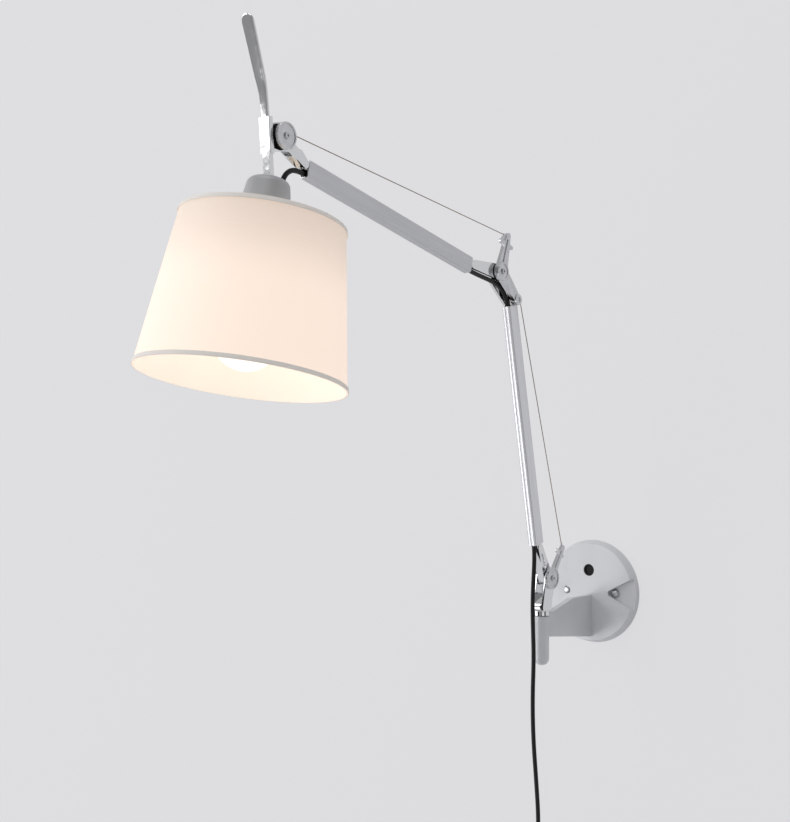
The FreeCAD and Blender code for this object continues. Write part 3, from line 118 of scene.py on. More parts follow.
def satinPaint(name, low, high):
    # silver-grey powder paint: a soft sheen over a faint orange peel and aluminium flake, the flake drawn
    # about ten times coarser than real so that it shows
    material, tree, shader, where = newFinish(name, high, 0.2, 0.42)
    flake = addNode(tree, "ShaderNodeTexNoise", {"Vector": where, "Scale": 1 / 0.0007, "Detail": 2.0})
    peel = addNode(tree, "ShaderNodeTexNoise", {"Vector": where, "Scale": 1 / 0.003, "Detail": 1.0})
    cloud = addNode(tree, "ShaderNodeTexNoise", {"Vector": where, "Scale": 1 / 0.05, "Detail": 2.0})
    tone = addNode(tree, "ShaderNodeMath", {0: flake, 1: cloud}, operation="ADD")
    drift = addNode(tree, "ShaderNodeMapRange", {"Value": tone, "To Min": -0.9, "To Max": 1.1})
    addNode(tree, "ShaderNodeMix", {0: drift, 6: hexColour(low), 7: hexColour(high)}, 2,
            shader.inputs["Base Color"], data_type="RGBA")
    addNode(tree, "ShaderNodeMapRange", {"Value": flake, "To Min": 0.36, "To Max": 0.52}, 0,
            shader.inputs["Roughness"])
    mixed = addNode(tree, "ShaderNodeMath", {0: flake, 1: peel}, operation="ADD")
    addNode(tree, "ShaderNodeBump", {"Height": mixed, "Distance": 0.00006, "Strength": 0.5}, 0,
            shader.inputs["Normal"])
    return material


def anodisedTube(name, lean, low, high):
    # satin anodised extrusion: lines drawn along the tube by the die, coarser than real so that they show
    material, tree, shader, where = newFinish(name, high, 1.0, 0.36)
    turned = addNode(tree, "ShaderNodeMapping", {"Vector": where, "Rotation": (math.radians(-lean), 0, 0)})
    along = addNode(tree, "ShaderNodeMapping", {"Vector": turned, "Scale": (1, 1, 0.01)})
    lines = addNode(tree, "ShaderNodeTexNoise", {"Vector": along, "Scale": 1 / 0.0006, "Detail": 3.0})
    grain = addNode(tree, "ShaderNodeTexNoise", {"Vector": where, "Scale": 1 / 0.0005, "Detail": 1.0})
    drift = addNode(tree, "ShaderNodeMapRange", {"Value": lines, "To Min": -0.6, "To Max": 1.6})
    addNode(tree, "ShaderNodeMix", {0: drift, 6: hexColour(low), 7: hexColour(high)}, 2,
            shader.inputs["Base Color"], data_type="RGBA")
    addNode(tree, "ShaderNodeMapRange", {"Value": grain, "To Min": 0.28, "To Max": 0.46}, 0,
            shader.inputs["Roughness"])
    addNode(tree, "ShaderNodeBump", {"Height": lines, "Distance": 0.00005, "Strength": 0.4}, 0,
            shader.inputs["Normal"])
    return material


def polishedCasting():
    # die-cast aluminium polished on a wheel: nearly a mirror, with a slow ripple and faint swirls
    material, tree, shader, where = newFinish("polishedCasting", "#DCDDDE", 1.0, 0.1)
    ripple = addNode(tree, "ShaderNodeTexNoise", {"Vector": where, "Scale": 1 / 0.009, "Detail": 1.0})
    swirl = addNode(tree, "ShaderNodeTexNoise", {"Vector": where, "Scale": 1 / 0.0012, "Detail": 3.0,
                                                 "Distortion": 1.5})
    addNode(tree, "ShaderNodeMapRange", {"Value": swirl, "To Min": 0.04, "To Max": 0.2}, 0,
            shader.inputs["Roughness"])
    addNode(tree, "ShaderNodeBump", {"Height": ripple, "Distance": 0.0004, "Strength": 0.25}, 0,
            shader.inputs["Normal"])
    return material


def satinCasting():
    # tumbled casting: an even grey grain, coarser than real so that it shows, with brighter worn high spots
    material, tree, shader, where = newFinish("satinCasting", "#C9CACC", 1.0, 0.28)
    grain = addNode(tree, "ShaderNodeTexNoise", {"Vector": where, "Scale": 1 / 0.0006, "Detail": 4.0})
    worn = addNode(tree, "ShaderNodeTexNoise", {"Vector": where, "Scale": 1 / 0.006, "Detail": 2.0})
    drift = addNode(tree, "ShaderNodeMapRange", {"Value": worn, "To Min": -0.5, "To Max": 1.5})
    addNode(tree, "ShaderNodeMix", {0: drift, 6: hexColour("#BFC0C2"), 7: hexColour("#D3D4D6")}, 2,
            shader.inputs["Base Color"], data_type="RGBA")
    addNode(tree, "ShaderNodeMapRange", {"Value": grain, "To Min": 0.16, "To Max": 0.38}, 0,
            shader.inputs["Roughness"])
    addNode(tree, "ShaderNodeBump", {"Height": grain, "Distance": 0.00006, "Strength": 0.5}, 0,
            shader.inputs["Normal"])
    return material


def brightSteel(name, colour, rough):
    # turned and plated: fine tool marks, drawn coarser than real, blur what it mirrors
    material, tree, shader, where = newFinish(name, colour, 1.0, rough)
    fine = addNode(tree, "ShaderNodeTexNoise", {"Vector": where, "Scale": 1 / 0.0009, "Detail": 2.0})
    addNode(tree, "ShaderNodeMapRange", {"Value": fine, "To Min": rough - 0.06, "To Max": rough + 0.1}, 0,
            shader.inputs["Roughness"])
    addNode(tree, "ShaderNodeBump", {"Height": fine, "Distance": 0.00004, "Strength": 0.3}, 0,
            shader.inputs["Normal"])
    return material


def strandedCable():
    # thin steel cable: its strands are too fine to show, so the twist is drawn three times coarser
    material, tree, shader, where = newFinish("strandedCable", "#8A7B70", 0.85, 0.4)
    strand = {"Vector": where, "Scale": wavePitch / 0.0012, "Distortion": 0.5}
    twist = addNode(tree, "ShaderNodeTexWave", strand, 1, wave_type="BANDS", bands_direction="DIAGONAL")
    addNode(tree, "ShaderNodeMix", {0: twist, 6: hexColour("#6E6058"), 7: hexColour("#A59588")}, 2,
            shader.inputs["Base Color"], data_type="RGBA")
    addNode(tree, "ShaderNodeBump", {"Height": twist, "Distance": 0.0001, "Strength": 0.6}, 0,
            shader.inputs["Normal"])
    return material


def blackNylon():
    # moulded nylon: dull black with the mould's spark-eroded grain, coarser than real so that it shows
    material, tree, shader, where = newFinish("mouldedBlackNylon", "#0E0F10", 0.0, 0.5)
    shader.inputs["Specular IOR Level"].default_value = 0.25
    grain = addNode(tree, "ShaderNodeTexNoise", {"Vector": where, "Scale": 1 / 0.0005, "Detail": 2.0})
    addNode(tree, "ShaderNodeMapRange", {"Value": grain, "To Min": 0.4, "To Max": 0.62}, 0,
            shader.inputs["Roughness"])
    addNode(tree, "ShaderNodeBump", {"Height": grain, "Distance": 0.00005, "Strength": 0.5}, 0,
            shader.inputs["Normal"])
    return material


def cordSheath():
    # extruded PVC cord sheath: smooth black with a slow waviness and light dust in the sheen
    material, tree, shader, where = newFinish("blackCordSheath", "#101012", 0.0, 0.38)
    shader.inputs["Specular IOR Level"].default_value = 0.3
    slow = addNode(tree, "ShaderNodeTexNoise", {"Vector": where, "Scale": 1 / 0.006, "Detail": 2.0})
    dust = addNode(tree, "ShaderNodeTexNoise", {"Vector": where, "Scale": 1 / 0.0008, "Detail": 2.0})
    addNode(tree, "ShaderNodeMix", {0: dust, 6: hexColour("#09090B"), 7: hexColour("#121214")}, 2,
            shader.inputs["Base Color"], data_type="RGBA")
    addNode(tree, "ShaderNodeMapRange", {"Value": slow, "To Min": 0.3, "To Max": 0.5}, 0,
            shader.inputs["Roughness"])
    addNode(tree, "ShaderNodeBump", {"Height": slow, "Distance": 0.00015, "Strength": 0.3}, 0,
            shader.inputs["Normal"])
    return material


def whiteResin():
    # heat-proof moulded resin, a slightly warm white with a soft gloss
    material, tree, shader, where = newFinish("whiteHeatproofResin", "#E7E3DA", 0.0, 0.35)
    cloud = addNode(tree, "ShaderNodeTexNoise", {"Vector": where, "Scale": 1 / 0.004, "Detail": 2.0})
    addNode(tree, "ShaderNodeMapRange", {"Value": cloud, "To Min": 0.28, "To Max": 0.44}, 0,
            shader.inputs["Roughness"])
    addNode(tree, "ShaderNodeBump", {"Height": cloud, "Distance": 0.00005, "Strength": 0.4}, 0,
            shader.inputs["Normal"])
    return material


def zincPlate():
    # dull zinc plating: a cool grey with soft clouds
    material, tree, shader, where = newFinish("zincPlatedSteel", "#A9ABAD", 1.0, 0.4)
    cloud = addNode(tree, "ShaderNodeTexNoise", {"Vector": where, "Scale": 1 / 0.005, "Detail": 3.0})
    addNode(tree, "ShaderNodeMix", {0: cloud, 6: hexColour("#989A9D"), 7: hexColour("#B9BBBD")}, 2,
            shader.inputs["Base Color"], data_type="RGBA")
    addNode(tree, "ShaderNodeMapRange", {"Value": cloud, "To Min": 0.3, "To Max": 0.5}, 0,
            shader.inputs["Roughness"])
    return material


# a painted glow is its colour, its strength at the top, and its strength from "fade" below the top down
shadeSettings = {"topRadius": 0.073, "bottomRadius": 0.092, "top": -0.0785, "height": 0.1407, "cloth": 0.0009,
                 "steps": 128, "cuts": 8, "unrollRadius": 0.085, "thread": 0.0009, "fade": 0.075,
                 "clothPaintedGlow": ("#FFE6D4", 0.48, 0.72), "liningPaintedGlow": ("#FFEFE2", 0.2, 0.4)}


def paintedShadeGlow(tree, shader, where, colour, low, high):
    # painted glow: emission stands in for the bulb's light through the shade; the bulb sits low, so the glow is
    # brightest there and fades towards the top
    shader.inputs["Emission Color"].default_value = hexColour(colour)
    upright = (math.radians(-poseSettings["shadeLean"]), 0, 0)
    turned = addNode(tree, "ShaderNodeMapping", {"Vector": where, "Rotation": upright})
    height = addNode(tree, "ShaderNodeSeparateXYZ", {0: turned}, "Z")
    top = shadeSettings["top"] - (shadeFrame.inverted() @ Vector((0, 0, 0))).z
    fade = {"Value": height, "From Min": top, "From Max": top - shadeSettings["fade"], "To Min": low,
            "To Max": high}
    addNode(tree, "ShaderNodeMapRange", fade, 0, shader.inputs["Emission Strength"],
            interpolation_type="SMOOTHSTEP")


def shadeCloth():
    # plain-weave cotton on a stiff film, threads a touch coarser than real so that they show; the cloth's
    # colour is kept greyish so that a painted glow, standing in for the bulb's light, sets most of its
    # brightness
    material, tree, shader, where = newFinish("laminatedShadeCloth", "#CFCAC2", 0.0, 0.9)
    uv = addNode(tree, "ShaderNodeTexCoord", out="UV")
    thread = {"Vector": uv, "Scale": wavePitch / shadeSettings["thread"], "Distortion": 0.6, "Detail": 1.0}
    warp = addNode(tree, "ShaderNodeTexWave", thread, 1, wave_type="BANDS", bands_direction="X")
    weft = addNode(tree, "ShaderNodeTexWave", thread, 1, wave_type="BANDS", bands_direction="Y")
    weave = addNode(tree, "ShaderNodeMath", {0: warp, 1: weft}, operation="MULTIPLY")
    longThreads = addNode(tree, "ShaderNodeMapping", {"Vector": uv, "Scale": (1, 14, 1)})
    slub = addNode(tree, "ShaderNodeTexNoise", {"Vector": longThreads, "Scale": 1 / 0.02, "Detail": 3.0})
    tone = addNode(tree, "ShaderNodeMath", {0: weave, 1: slub}, operation="ADD")
    drift = addNode(tree, "ShaderNodeMapRange", {"Value": tone, "To Min": -0.2, "To Max": 0.8})
    addNode(tree, "ShaderNodeMix", {0: drift, 6: hexColour("#B8B2AA"), 7: hexColour("#C9C3BB")}, 2,
            shader.inputs["Base Color"], data_type="RGBA")
    addNode(tree, "ShaderNodeBump", {"Height": weave, "Distance": 0.00012, "Strength": 0.5}, 0,
            shader.inputs["Normal"])
    shader.inputs["Sheen Weight"].default_value = 0.15
    shader.inputs["Sheen Roughness"].default_value = 0.5
    paintedShadeGlow(tree, shader, where, *shadeSettings["clothPaintedGlow"])
    return material


def shadeLining():
    # the white film inside the shade, lit by the bulb, with a painted glow added over that light
    material, tree, shader, where = newFinish("litShadeLining", "#E6E0D6", 0.0, 0.6)
    soft = addNode(tree, "ShaderNodeTexNoise", {"Vector": where, "Scale": 1 / 0.03, "Detail": 2.0})
    addNode(tree, "ShaderNodeMix", {0: soft, 6: hexColour("#E0DACF"), 7: hexColour("#EAE5DB")}, 2,
            shader.inputs["Base Color"], data_type="RGBA")
    paintedShadeGlow(tree, shader, where, *shadeSettings["liningPaintedGlow"])
    return material


def edgeTape():
    # a folded strip of bleached cotton tape glued over the rim, with a faint painted glow standing in for the
    # shade's light
    material, tree, shader, where = newFinish("cottonEdgeTape", "#E4E2DF", 0.0, 0.8)
    fine = addNode(tree, "ShaderNodeTexNoise", {"Vector": where, "Scale": 1 / 0.0008, "Detail": 3.0})
    addNode(tree, "ShaderNodeMix", {0: fine, 6: hexColour("#DCDAD7"), 7: hexColour("#ECEAE7")}, 2,
            shader.inputs["Base Color"], data_type="RGBA")
    shader.inputs["Emission Color"].default_value = hexColour("#FFEBD8")
    shader.inputs["Emission Strength"].default_value = 0.12
    addNode(tree, "ShaderNodeBump", {"Height": fine, "Distance": 0.00012, "Strength": 0.6}, 0,
            shader.inputs["Normal"])
    return material


def opalGlass():
    # opal-coated bulb, lit: an even white with a slightly cloudy coat
    material, tree, shader, where = newFinish("opalBulbGlass", "#F5EFE3", 0.0, 0.25)
    coat = addNode(tree, "ShaderNodeTexNoise", {"Vector": where, "Scale": 1 / 0.02, "Detail": 1.0})
    addNode(tree, "ShaderNodeMix", {0: coat, 6: hexColour("#F2EBDD"), 7: hexColour("#F8F3EA")}, 2,
            shader.inputs["Base Color"], data_type="RGBA")
    shader.inputs["Emission Color"].default_value = hexColour("#FFF6EA")
    shader.inputs["Emission Strength"].default_value = 1.05
    return material


finishes = {
    "satinPaint": satinPaint("satinSilverPaint", "#C6C8CB", "#DADCDF"),
    "cupPaint": satinPaint("satinDarkSilverPaint", "#9EA0A3", "#AEB0B3"),
    # painted light: the lower tube wears a lighter copy of the upper tube's anodised finish, standing in for
    # the brighter light on it
    "lowerAnodisedPaintedBright": anodisedTube("anodisedLowerTubePaintedBright", poseSettings["lowerLean"], "#CFD0D3", "#DEDFE2"),
    "upperAnodised": anodisedTube("anodisedUpperTube", poseSettings["upperLean"], "#BCBDC0", "#CBCCCF"),
    "polished": polishedCasting(), "satin": satinCasting(),
    "screws": brightSteel("polishedScrewSteel", "#BFC0C3", 0.2),
    "nickel": brightSteel("nickelPlatedBrass", "#CFCBC2", 0.2),
    "cable": strandedCable(), "nylon": blackNylon(), "sheath": cordSheath(), "resin": whiteResin(),
    "zinc": zincPlate(), "cloth": shadeCloth(), "lining": shadeLining(), "tape": edgeTape(),
    "opal": opalGlass()}

nodeFinishes = {
    "satinPaint": ["wall_plate", "bracket_arm"],
    "cupPaint": ["socket_cup"],
    "lowerAnodisedPaintedBright": ["lower_tube"],
    "upperAnodised": ["upper_tube"],
    "polished": ["swivel_fork", "lower_foot", "elbow_fork", "upper_tail", "head_fork", "head_block",
                 "head_handle"],
    "satin": ["shoulder_lever", "elbow_lever", "cable_guide", "head_knob"],
    "screws": ["wall_screws", "shoulder_screw", "elbow_screw", "head_screw"],
    "nickel": ["bulb_cap", "plug_pins"],
    "cable": ["lower_cable", "upper_cable"],
    "nylon": ["hole_plug", "swivel_bush", "shoulder_washers", "elbow_washers", "knob_ring", "cord_tie"],
    "sheath": ["supply_cord", "cord_coil", "cord_exit", "lower_lead", "upper_lead", "elbow_lead", "head_lead",
               "plug_body"],
    "resin": ["lamp_holder", "shade_nut"],
    "zinc": ["mounting_strap", "lower_spring", "upper_spring"],
    "tape": ["shade_top_ring", "shade_bottom_ring", "shade_carrier"],
    "cloth": ["shade_fabric"],
    "opal": ["bulb_globe"]}
for finish, names in nodeFinishes.items():
    for name in names:
        nodes[name].data.materials.clear()
        nodes[name].data.materials.append(finishes[finish])
print("finishes made,", len(finishes))


def flexLine(name, points, diameter, finish, sides=8, smooth=12, form="NURBS"):
    # a round flexible line: one spline through its route, and the points that it really follows
    curve = bpy.data.curves.new(name + "Line", "CURVE")
    curve.dimensions = "3D"
    curve.resolution_u = smooth
    spline = curve.splines.new(form)
    spline.points.add(len(points) - 1)
    for spot, point in zip(spline.points, points):
        spot.co = (*point, 1)
    if form == "NURBS":
        spline.order_u = 3
        spline.use_endpoint_u = True
    holder = bpy.data.objects.new(name + "Line", curve)
    bpy.context.scene.collection.objects.link(holder)
    bare = bpy.data.meshes.new_from_object(holder)
    path = [tuple(v.co) for v in bare.vertices]
    curve.bevel_depth = diameter / 2
    curve.bevel_resolution = sides // 2 - 1
    curve.use_fill_caps = True
    bpy.context.view_layer.update()
    mesh = bpy.data.meshes.new_from_object(holder.evaluated_get(bpy.context.evaluated_depsgraph_get()))
    bpy.data.objects.remove(holder)
    piece = bpy.data.objects.new(name, mesh)
    bpy.context.scene.collection.objects.link(piece)
    mesh.materials.clear()
    mesh.materials.append(finish)
    for face in mesh.polygons:
        face.use_smooth = True
    return piece, path


def middlePoints(place, points):
    # (y, z) points in the lamp's middle plane, given in one of the frames
    return [place @ Vector((0, y, z)) for y, z in points]


cordSettings = {
    "diameter": 0.0048, "length": 1.78, "tail": 0.017, "coilCentre": (0.034, -0.128, -0.35),
    "coilRadius": 0.033, "pitch": 0.0062, "turnsPerLayer": 2, "layers": 4, "pointsPerTurn": 12,
    "inTube": [(-0.01565, 0.043), (-0.01565, 0.032)],      # in the lower arm's frame
    "mouth": (0, -0.13249, 0.014), "bend": (-0.0004, -0.13279, -0.008), "bendEnd": (0, -0.13249, -0.03),
    "straight": 0.034,
    "hang": [(-0.0006, -0.13289, -0.108), (0.0002, -0.13249, -0.152), (0.0014, -0.12849, -0.198),
             (0.0024, -0.12509, -0.244), (0.0016, -0.128, -0.288), (0.001, -0.128, -0.322)],
    "intoCoil": (0, 0, 0.00576), "outOfCoil": [(-0.0005, 0, 0.002), (0, 0, -0.008)]}


def coilPoints():
    # the tied coil: each layer winds in or out, and the last quarter turn climbs to the next layer
    centre = Vector(cordSettings["coilCentre"])
    perLayer, perTurn = cordSettings["turnsPerLayer"], cordSettings["pointsPerTurn"]
    pitch, lastLayer = cordSettings["pitch"], cordSettings["layers"] - 1
    puffed = 1 / math.cos(math.pi / perTurn)     # the spline runs inside its points by this much
    found = []
    for step in range(1, perTurn * perLayer * cordSettings["layers"] + 1):
        turn = step / perTurn
        layer = min(int(turn // perLayer), lastLayer)
        into = turn - layer * perLayer
        inward = into * pitch if layer % 2 == 0 else (perLayer - into) * pitch
        quarters = 4 * (perLayer - into)
        climb = 0.5 + 0.5 * math.cos(math.pi * quarters) if quarters < 1 and layer < lastLayer else 0
        radius = (cordSettings["coilRadius"] - inward) * puffed
        angle = math.pi + turn * 2 * math.pi
        place = (math.cos(angle) * radius, (layer + climb) * pitch, math.sin(angle) * radius)
        found.append(centre + Vector(place))
    return found


coilStart = Vector(cordSettings["coilCentre"]) - Vector((cordSettings["coilRadius"], 0, 0))
coilEnd = coilStart + Vector((0, (cordSettings["layers"] - 1) * cordSettings["pitch"], 0))
exitBend, exitLow = Vector(cordSettings["bend"]), Vector(cordSettings["bendEnd"])
cordRoute = middlePoints(lowerFrame, cordSettings["inTube"])
cordRoute += [Vector(cordSettings["mouth"]), exitBend, exitLow]
cordRoute += [exitLow + (exitLow - exitBend).normalized() * cordSettings["straight"]]
cordRoute += [Vector(point) for point in cordSettings["hang"]]
cordRoute += [coilStart + Vector(cordSettings["intoCoil"]), coilStart] + coilPoints()[:-1]
cordRoute += [coilEnd + Vector(step) for step in cordSettings["outOfCoil"]]
cordRoute += [coilEnd - Vector((0, 0, cordSettings["tail"]))]
supplyCord, cordPath = flexLine("supplyCord", cordRoute, cordSettings["diameter"], finishes["sheath"],
                                sides=12, smooth=8)
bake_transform(supplyCord)
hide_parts("cord_exit", "supply_cord", "cord_coil")

elbowLeadSettings = {
    "length": 0.089, "inLower": [(-0.01565, 0.307), (-0.01565, 0.315), (-0.02045, 0.3255), (-0.03165, 0.335)],
    "inUpper": [(-0.01455, 0.039), (-0.01455, 0.051)]}
elbowRoute = middlePoints(lowerFrame, elbowLeadSettings["inLower"])
elbowRoute += middlePoints(upperFrame, elbowLeadSettings["inUpper"])
elbowLead, elbowPath = flexLine("elbowLead", elbowRoute, cordSettings["diameter"], finishes["sheath"], sides=12)
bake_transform(elbowLead)
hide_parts("elbow_lead")

headLeadSettings = {
    "length": 0.0427, "inUpper": [(-0.01455, 0.308), (-0.01455, 0.3165)],
    "inShade": [(0.023, -0.0235), (0.0155, -0.034), (0.0155, -0.0445)]}
headRoute = middlePoints(upperFrame, headLeadSettings["inUpper"])
headRoute += middlePoints(shadeFrame, headLeadSettings["inShade"])
headLead, headPath = flexLine("headLead", headRoute, cordSettings["diameter"], finishes["sheath"], sides=12)
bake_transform(headLead)
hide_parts("head_lead")

# the lever's tip is given in the shoulder's frame, the guide and the horn in the elbow's, the hub in the knob's
cableSettings = {
    "diameter": 0.0009, "leverTip": (0.0074, 0.02241, 0.03519), "guide": (0.0074, 0.0243, -0.0333),
    "groove": 0.0051, "onGroove": 1.03, "wrapDegrees": range(15, 151, 15),
    "horn": (0.0074, 0.013293, 0.037849), "hornGap": 0.0015, "hub": (0.0073, 0.00455, 0)}


def steelCable(name, route, node):
    # a taut run: a poly line with a ring only at each of its points, so that it runs straight between them
    piece, path = flexLine(name, route, cableSettings["diameter"], finishes["cable"], smooth=1, form="POLY")
    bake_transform(piece)
    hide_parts(node)


leverHook = shoulderFrame @ Vector(cableSettings["leverTip"])
guideCentre = Vector(cableSettings["guide"])
guideTangent = elbowFrame @ (guideCentre + Vector((0, cableSettings["groove"], 0)))
# after the guide's near side the cable turns round it and hugs the groove
wrapRadius = cableSettings["groove"] * cableSettings["onGroove"]
wrap = [elbowFrame @ (guideCentre + Vector((0, math.cos(angle), math.sin(angle))) * wrapRadius)
        for angle in map(math.radians, cableSettings["wrapDegrees"])]
steelCable("lowerCable", [leverHook, guideTangent] + wrap,
           "lower_cable")
hornPoint = elbowFrame @ Vector(cableSettings["horn"])
hubPoint = knobFrame @ Vector(cableSettings["hub"])
hornStart = hornPoint + (hubPoint - hornPoint).normalized() * cableSettings["hornGap"]
steelCable("upperCable", [hornStart, hubPoint], "upper_cable")
print("cords and cables laid")


def meshPiece(name, form, finish, body, node=None, crease=35):
    # close a bmesh into a finished object: doubles merged, faces outwards, smooth up to the crease angle
    bmesh.ops.remove_doubles(form, verts=form.verts, dist=1e-6)
    bmesh.ops.recalc_face_normals(form, faces=form.faces)
    mesh = bpy.data.meshes.new(name)
    form.to_mesh(mesh)
    form.free()
    for face in mesh.polygons:
        face.use_smooth = True
    mesh.set_sharp_from_angle(angle=math.radians(crease))
    piece = bpy.data.objects.new(name, mesh)
    bpy.context.scene.collection.objects.link(piece)
    mesh.materials.append(finish)
    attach(piece, body)
    if node:
        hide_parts(node)
    return piece


def spinOutline(form, outline, steps, closed=True):
    # turn an outline of (out, up) points once round the upright axis
    spots = [form.verts.new((out, 0, up)) for out, up in outline]
    ends = spots[1:] + (spots[:1] if closed else [])
    edges = [form.edges.new(pair) for pair in zip(spots, ends)]
    bmesh.ops.spin(form, geom=spots + edges, axis=(0, 0, 1), cent=(0, 0, 0), angle=2 * math.pi, steps=steps,
                   use_merge=True)


easeSettings = {"merge": 2e-6, "flat": 0.6, "corner": 28, "segments": 3, "weight": 80}     # angles in degrees


def easedCopy(node, name, finish, body, width):
    # a cast or machined piece keeps its CAD form and gets the small rounds that real edges have
    form = bmesh.new()
    form.from_mesh(nodes[node].data)
    bmesh.ops.remove_doubles(form, verts=form.verts, dist=easeSettings["merge"])
    bmesh.ops.dissolve_limit(form, angle_limit=math.radians(easeSettings["flat"]), verts=form.verts,
                             edges=form.edges)
    bend = math.radians(easeSettings["corner"])
    corners = [e for e in form.edges if len(e.link_faces) == 2 and e.calc_face_angle() > bend]
    bmesh.ops.bevel(form, geom=corners, offset=width, offset_type="OFFSET", segments=easeSettings["segments"],
                    profile=0.5, affect="EDGES", clamp_overlap=True, material=-1)
    piece = meshPiece(name, form, finish, body, node)
    even = piece.modifiers.new("evenNormals", "WEIGHTED_NORMAL")     # broad faces stay flat beside their rounds
    even.keep_sharp = True
    even.weight = easeSettings["weight"]


easedPieces = [
    # node, piece, finish, body, slot, width of the rounds
    ("wall_plate", "wallPlate", "satinPaint", "wall_bracket", "satin_grey_paint", 0.0003),
    ("bracket_arm", "bracketArm", "satinPaint", "wall_bracket", "satin_grey_paint", 0.0006),
    ("swivel_fork", "swivelFork", "polished", "swivel", "polished_casting", 0.0005),
    ("shoulder_lever", "shoulderLever", "satin", "swivel", "satin_casting", 0.0004),
    ("lower_foot", "lowerFoot", "polished", "lower_arm", "polished_casting", 0.0006),
    ("elbow_fork", "elbowFork", "polished", "lower_arm", "polished_casting", 0.0005),
    ("elbow_lever", "elbowLever", "satin", "lower_arm", "satin_casting", 0.0004),
    ("cable_guide", "cableGuide", "satin", "lower_arm", "satin_casting", 0.0002),
    ("upper_tail", "upperTail", "polished", "upper_arm", "polished_casting", 0.0006),
    ("head_fork", "headFork", "polished", "upper_arm", "polished_casting", 0.0004),
    ("head_block", "headBlock", "polished", "head", "polished_casting", 0.0005)]
for node, name, finish, body, slot, width in easedPieces:
    easedCopy(node, name, finishes[finish], body, width)
print("castings eased")


def addWallUv(form):
    # unroll the cone so that the weave runs round and up it
    layer = form.loops.layers.uv.new("clothUv")
    for face in form.faces:
        centre = face.calc_center_median()
        middle = math.atan2(centre.y, centre.x)
        for loop in face.loops:
            spot = loop.vert.co
            turn = math.atan2(spot.y, spot.x) - middle
            turn = (turn + math.pi) % (2 * math.pi) - math.pi
            loop[layer].uv = ((middle + turn) * shadeSettings["unrollRadius"], spot.z)


def makeShade():
    # an open cone of cloth, white film on its inner side
    form = bmesh.new()
    top, bottom = shadeSettings["top"], shadeSettings["top"] - shadeSettings["height"]
    inset = shadeSettings["cloth"] / 2
    wall = [(shadeSettings["topRadius"] - inset, top), (shadeSettings["bottomRadius"] - inset, bottom)]
    spinOutline(form, wall, shadeSettings["steps"], closed=False)
    uprights = [e for e in form.edges if abs(e.verts[0].co.z - e.verts[1].co.z) > shadeSettings["height"] / 2]
    bmesh.ops.subdivide_edges(form, edges=uprights, cuts=shadeSettings["cuts"], use_grid_fill=True)
    bmesh.ops.remove_doubles(form, verts=form.verts, dist=1e-6)
    bmesh.ops.recalc_face_normals(form, faces=form.faces)
    bmesh.ops.solidify(form, geom=form.faces[:], thickness=shadeSettings["cloth"])
    addWallUv(form)
    for face in form.faces:
        outward = Vector((face.calc_center_median().x, face.calc_center_median().y, 0)).normalized()
        face.material_index = 1 if face.normal.dot(outward) < -0.5 else 0
    bmesh.ops.transform(form, matrix=shadeFrame, verts=form.verts)
    piece = meshPiece("shadeCloth", form, finishes["cloth"], "head", "shade_fabric")
    piece.data.materials.append(finishes["lining"])


# the folded tape's outline: outwards from the rim's edge, and up
tapeSettings = {"height": 0.0036, "steps": 128, "outline": [
    (-0.0011, 0.0002), (-0.0007, 0.0005), (0.0001, 0.0005), (0.00063, 0.0001), (0.0007, -0.0006),
    (0.0007, -0.0032), (0.00042, -0.0036), (0.00005, -0.0036), (0.00005, -0.0003), (-0.00095, -0.0003),
    (-0.00095, -0.0036), (-0.0012, -0.0036)]}
shadeSlope = (shadeSettings["bottomRadius"] - shadeSettings["topRadius"]) / shadeSettings["height"]


def makeTape(name, radius, high, node):
    # a folded tape: a soft-cornered strip turned round the shade's axis, leaning with the cloth
    form = bmesh.new()
    outline = [(radius + out - shadeSlope * up, high + up) for out, up in tapeSettings["outline"]]
    spinOutline(form, outline, tapeSettings["steps"])
    bmesh.ops.transform(form, matrix=shadeFrame, verts=form.verts)
    meshPiece(name, form, finishes["tape"], "head", node)


makeShade()
makeTape("topTape", shadeSettings["topRadius"], shadeSettings["top"], "shade_top_ring")
makeTape("bottomTape", shadeSettings["bottomRadius"] - tapeSettings["height"] * shadeSlope,
         shadeSettings["top"] - shadeSettings["height"] + tapeSettings["height"], "shade_bottom_ring")
print("shade made")

cupSettings = {"top": -0.0405, "shoulder": 0.0194, "round": 0.007, "low": 0.02425, "height": 0.037,
               "wall": 0.0012, "lip": 0.0004, "steps": 72}


def makeCup():
    # a spun metal cup: flat top, soft shoulder, a slight flare and a rolled lower lip
    form = bmesh.new()
    c = cupSettings
    outer = [(0.0, c["top"])]
    for angle in map(math.radians, range(90, 9, -10)):
        outer.append((c["shoulder"] - c["round"] + math.cos(angle) * c["round"],
                      c["top"] - c["round"] + math.sin(angle) * c["round"]))
    outer.append((c["low"], c["top"] - c["height"] + c["lip"]))
    outer.append((c["low"] - c["lip"], c["top"] - c["height"]))
    inner = [(out - c["wall"] if out > 0 else 0.0, up - (c["wall"] if up > c["top"] - c["round"] else 0.0))
             for out, up in reversed(outer[:-1])]
    spinOutline(form, outer + inner, c["steps"], closed=False)
    bmesh.ops.transform(form, matrix=shadeFrame, verts=form.verts)
    meshPiece("socketCup", form, finishes["cupPaint"], "head", "socket_cup")


grommetSettings = {"place": (0, 0.0155, -0.0423), "steps": 32, "outline": [
    (0.0026, -0.0012), (0.0026, 0.0016), (0.0030, 0.0020), (0.0042, 0.0018), (0.0046, 0.0012), (0.0046, 0.0),
    (0.0040, -0.0008), (0.0034, -0.0012)]}


def makeGrommet():
    # the rubber bush where the lead goes into the cup
    form = bmesh.new()
    spinOutline(form, grommetSettings["outline"], grommetSettings["steps"])
    place = shadeFrame @ Matrix.Translation(grommetSettings["place"])
    bmesh.ops.transform(form, matrix=place, verts=form.verts)
    meshPiece("cupGrommet", form, finishes["nylon"], "head", None)


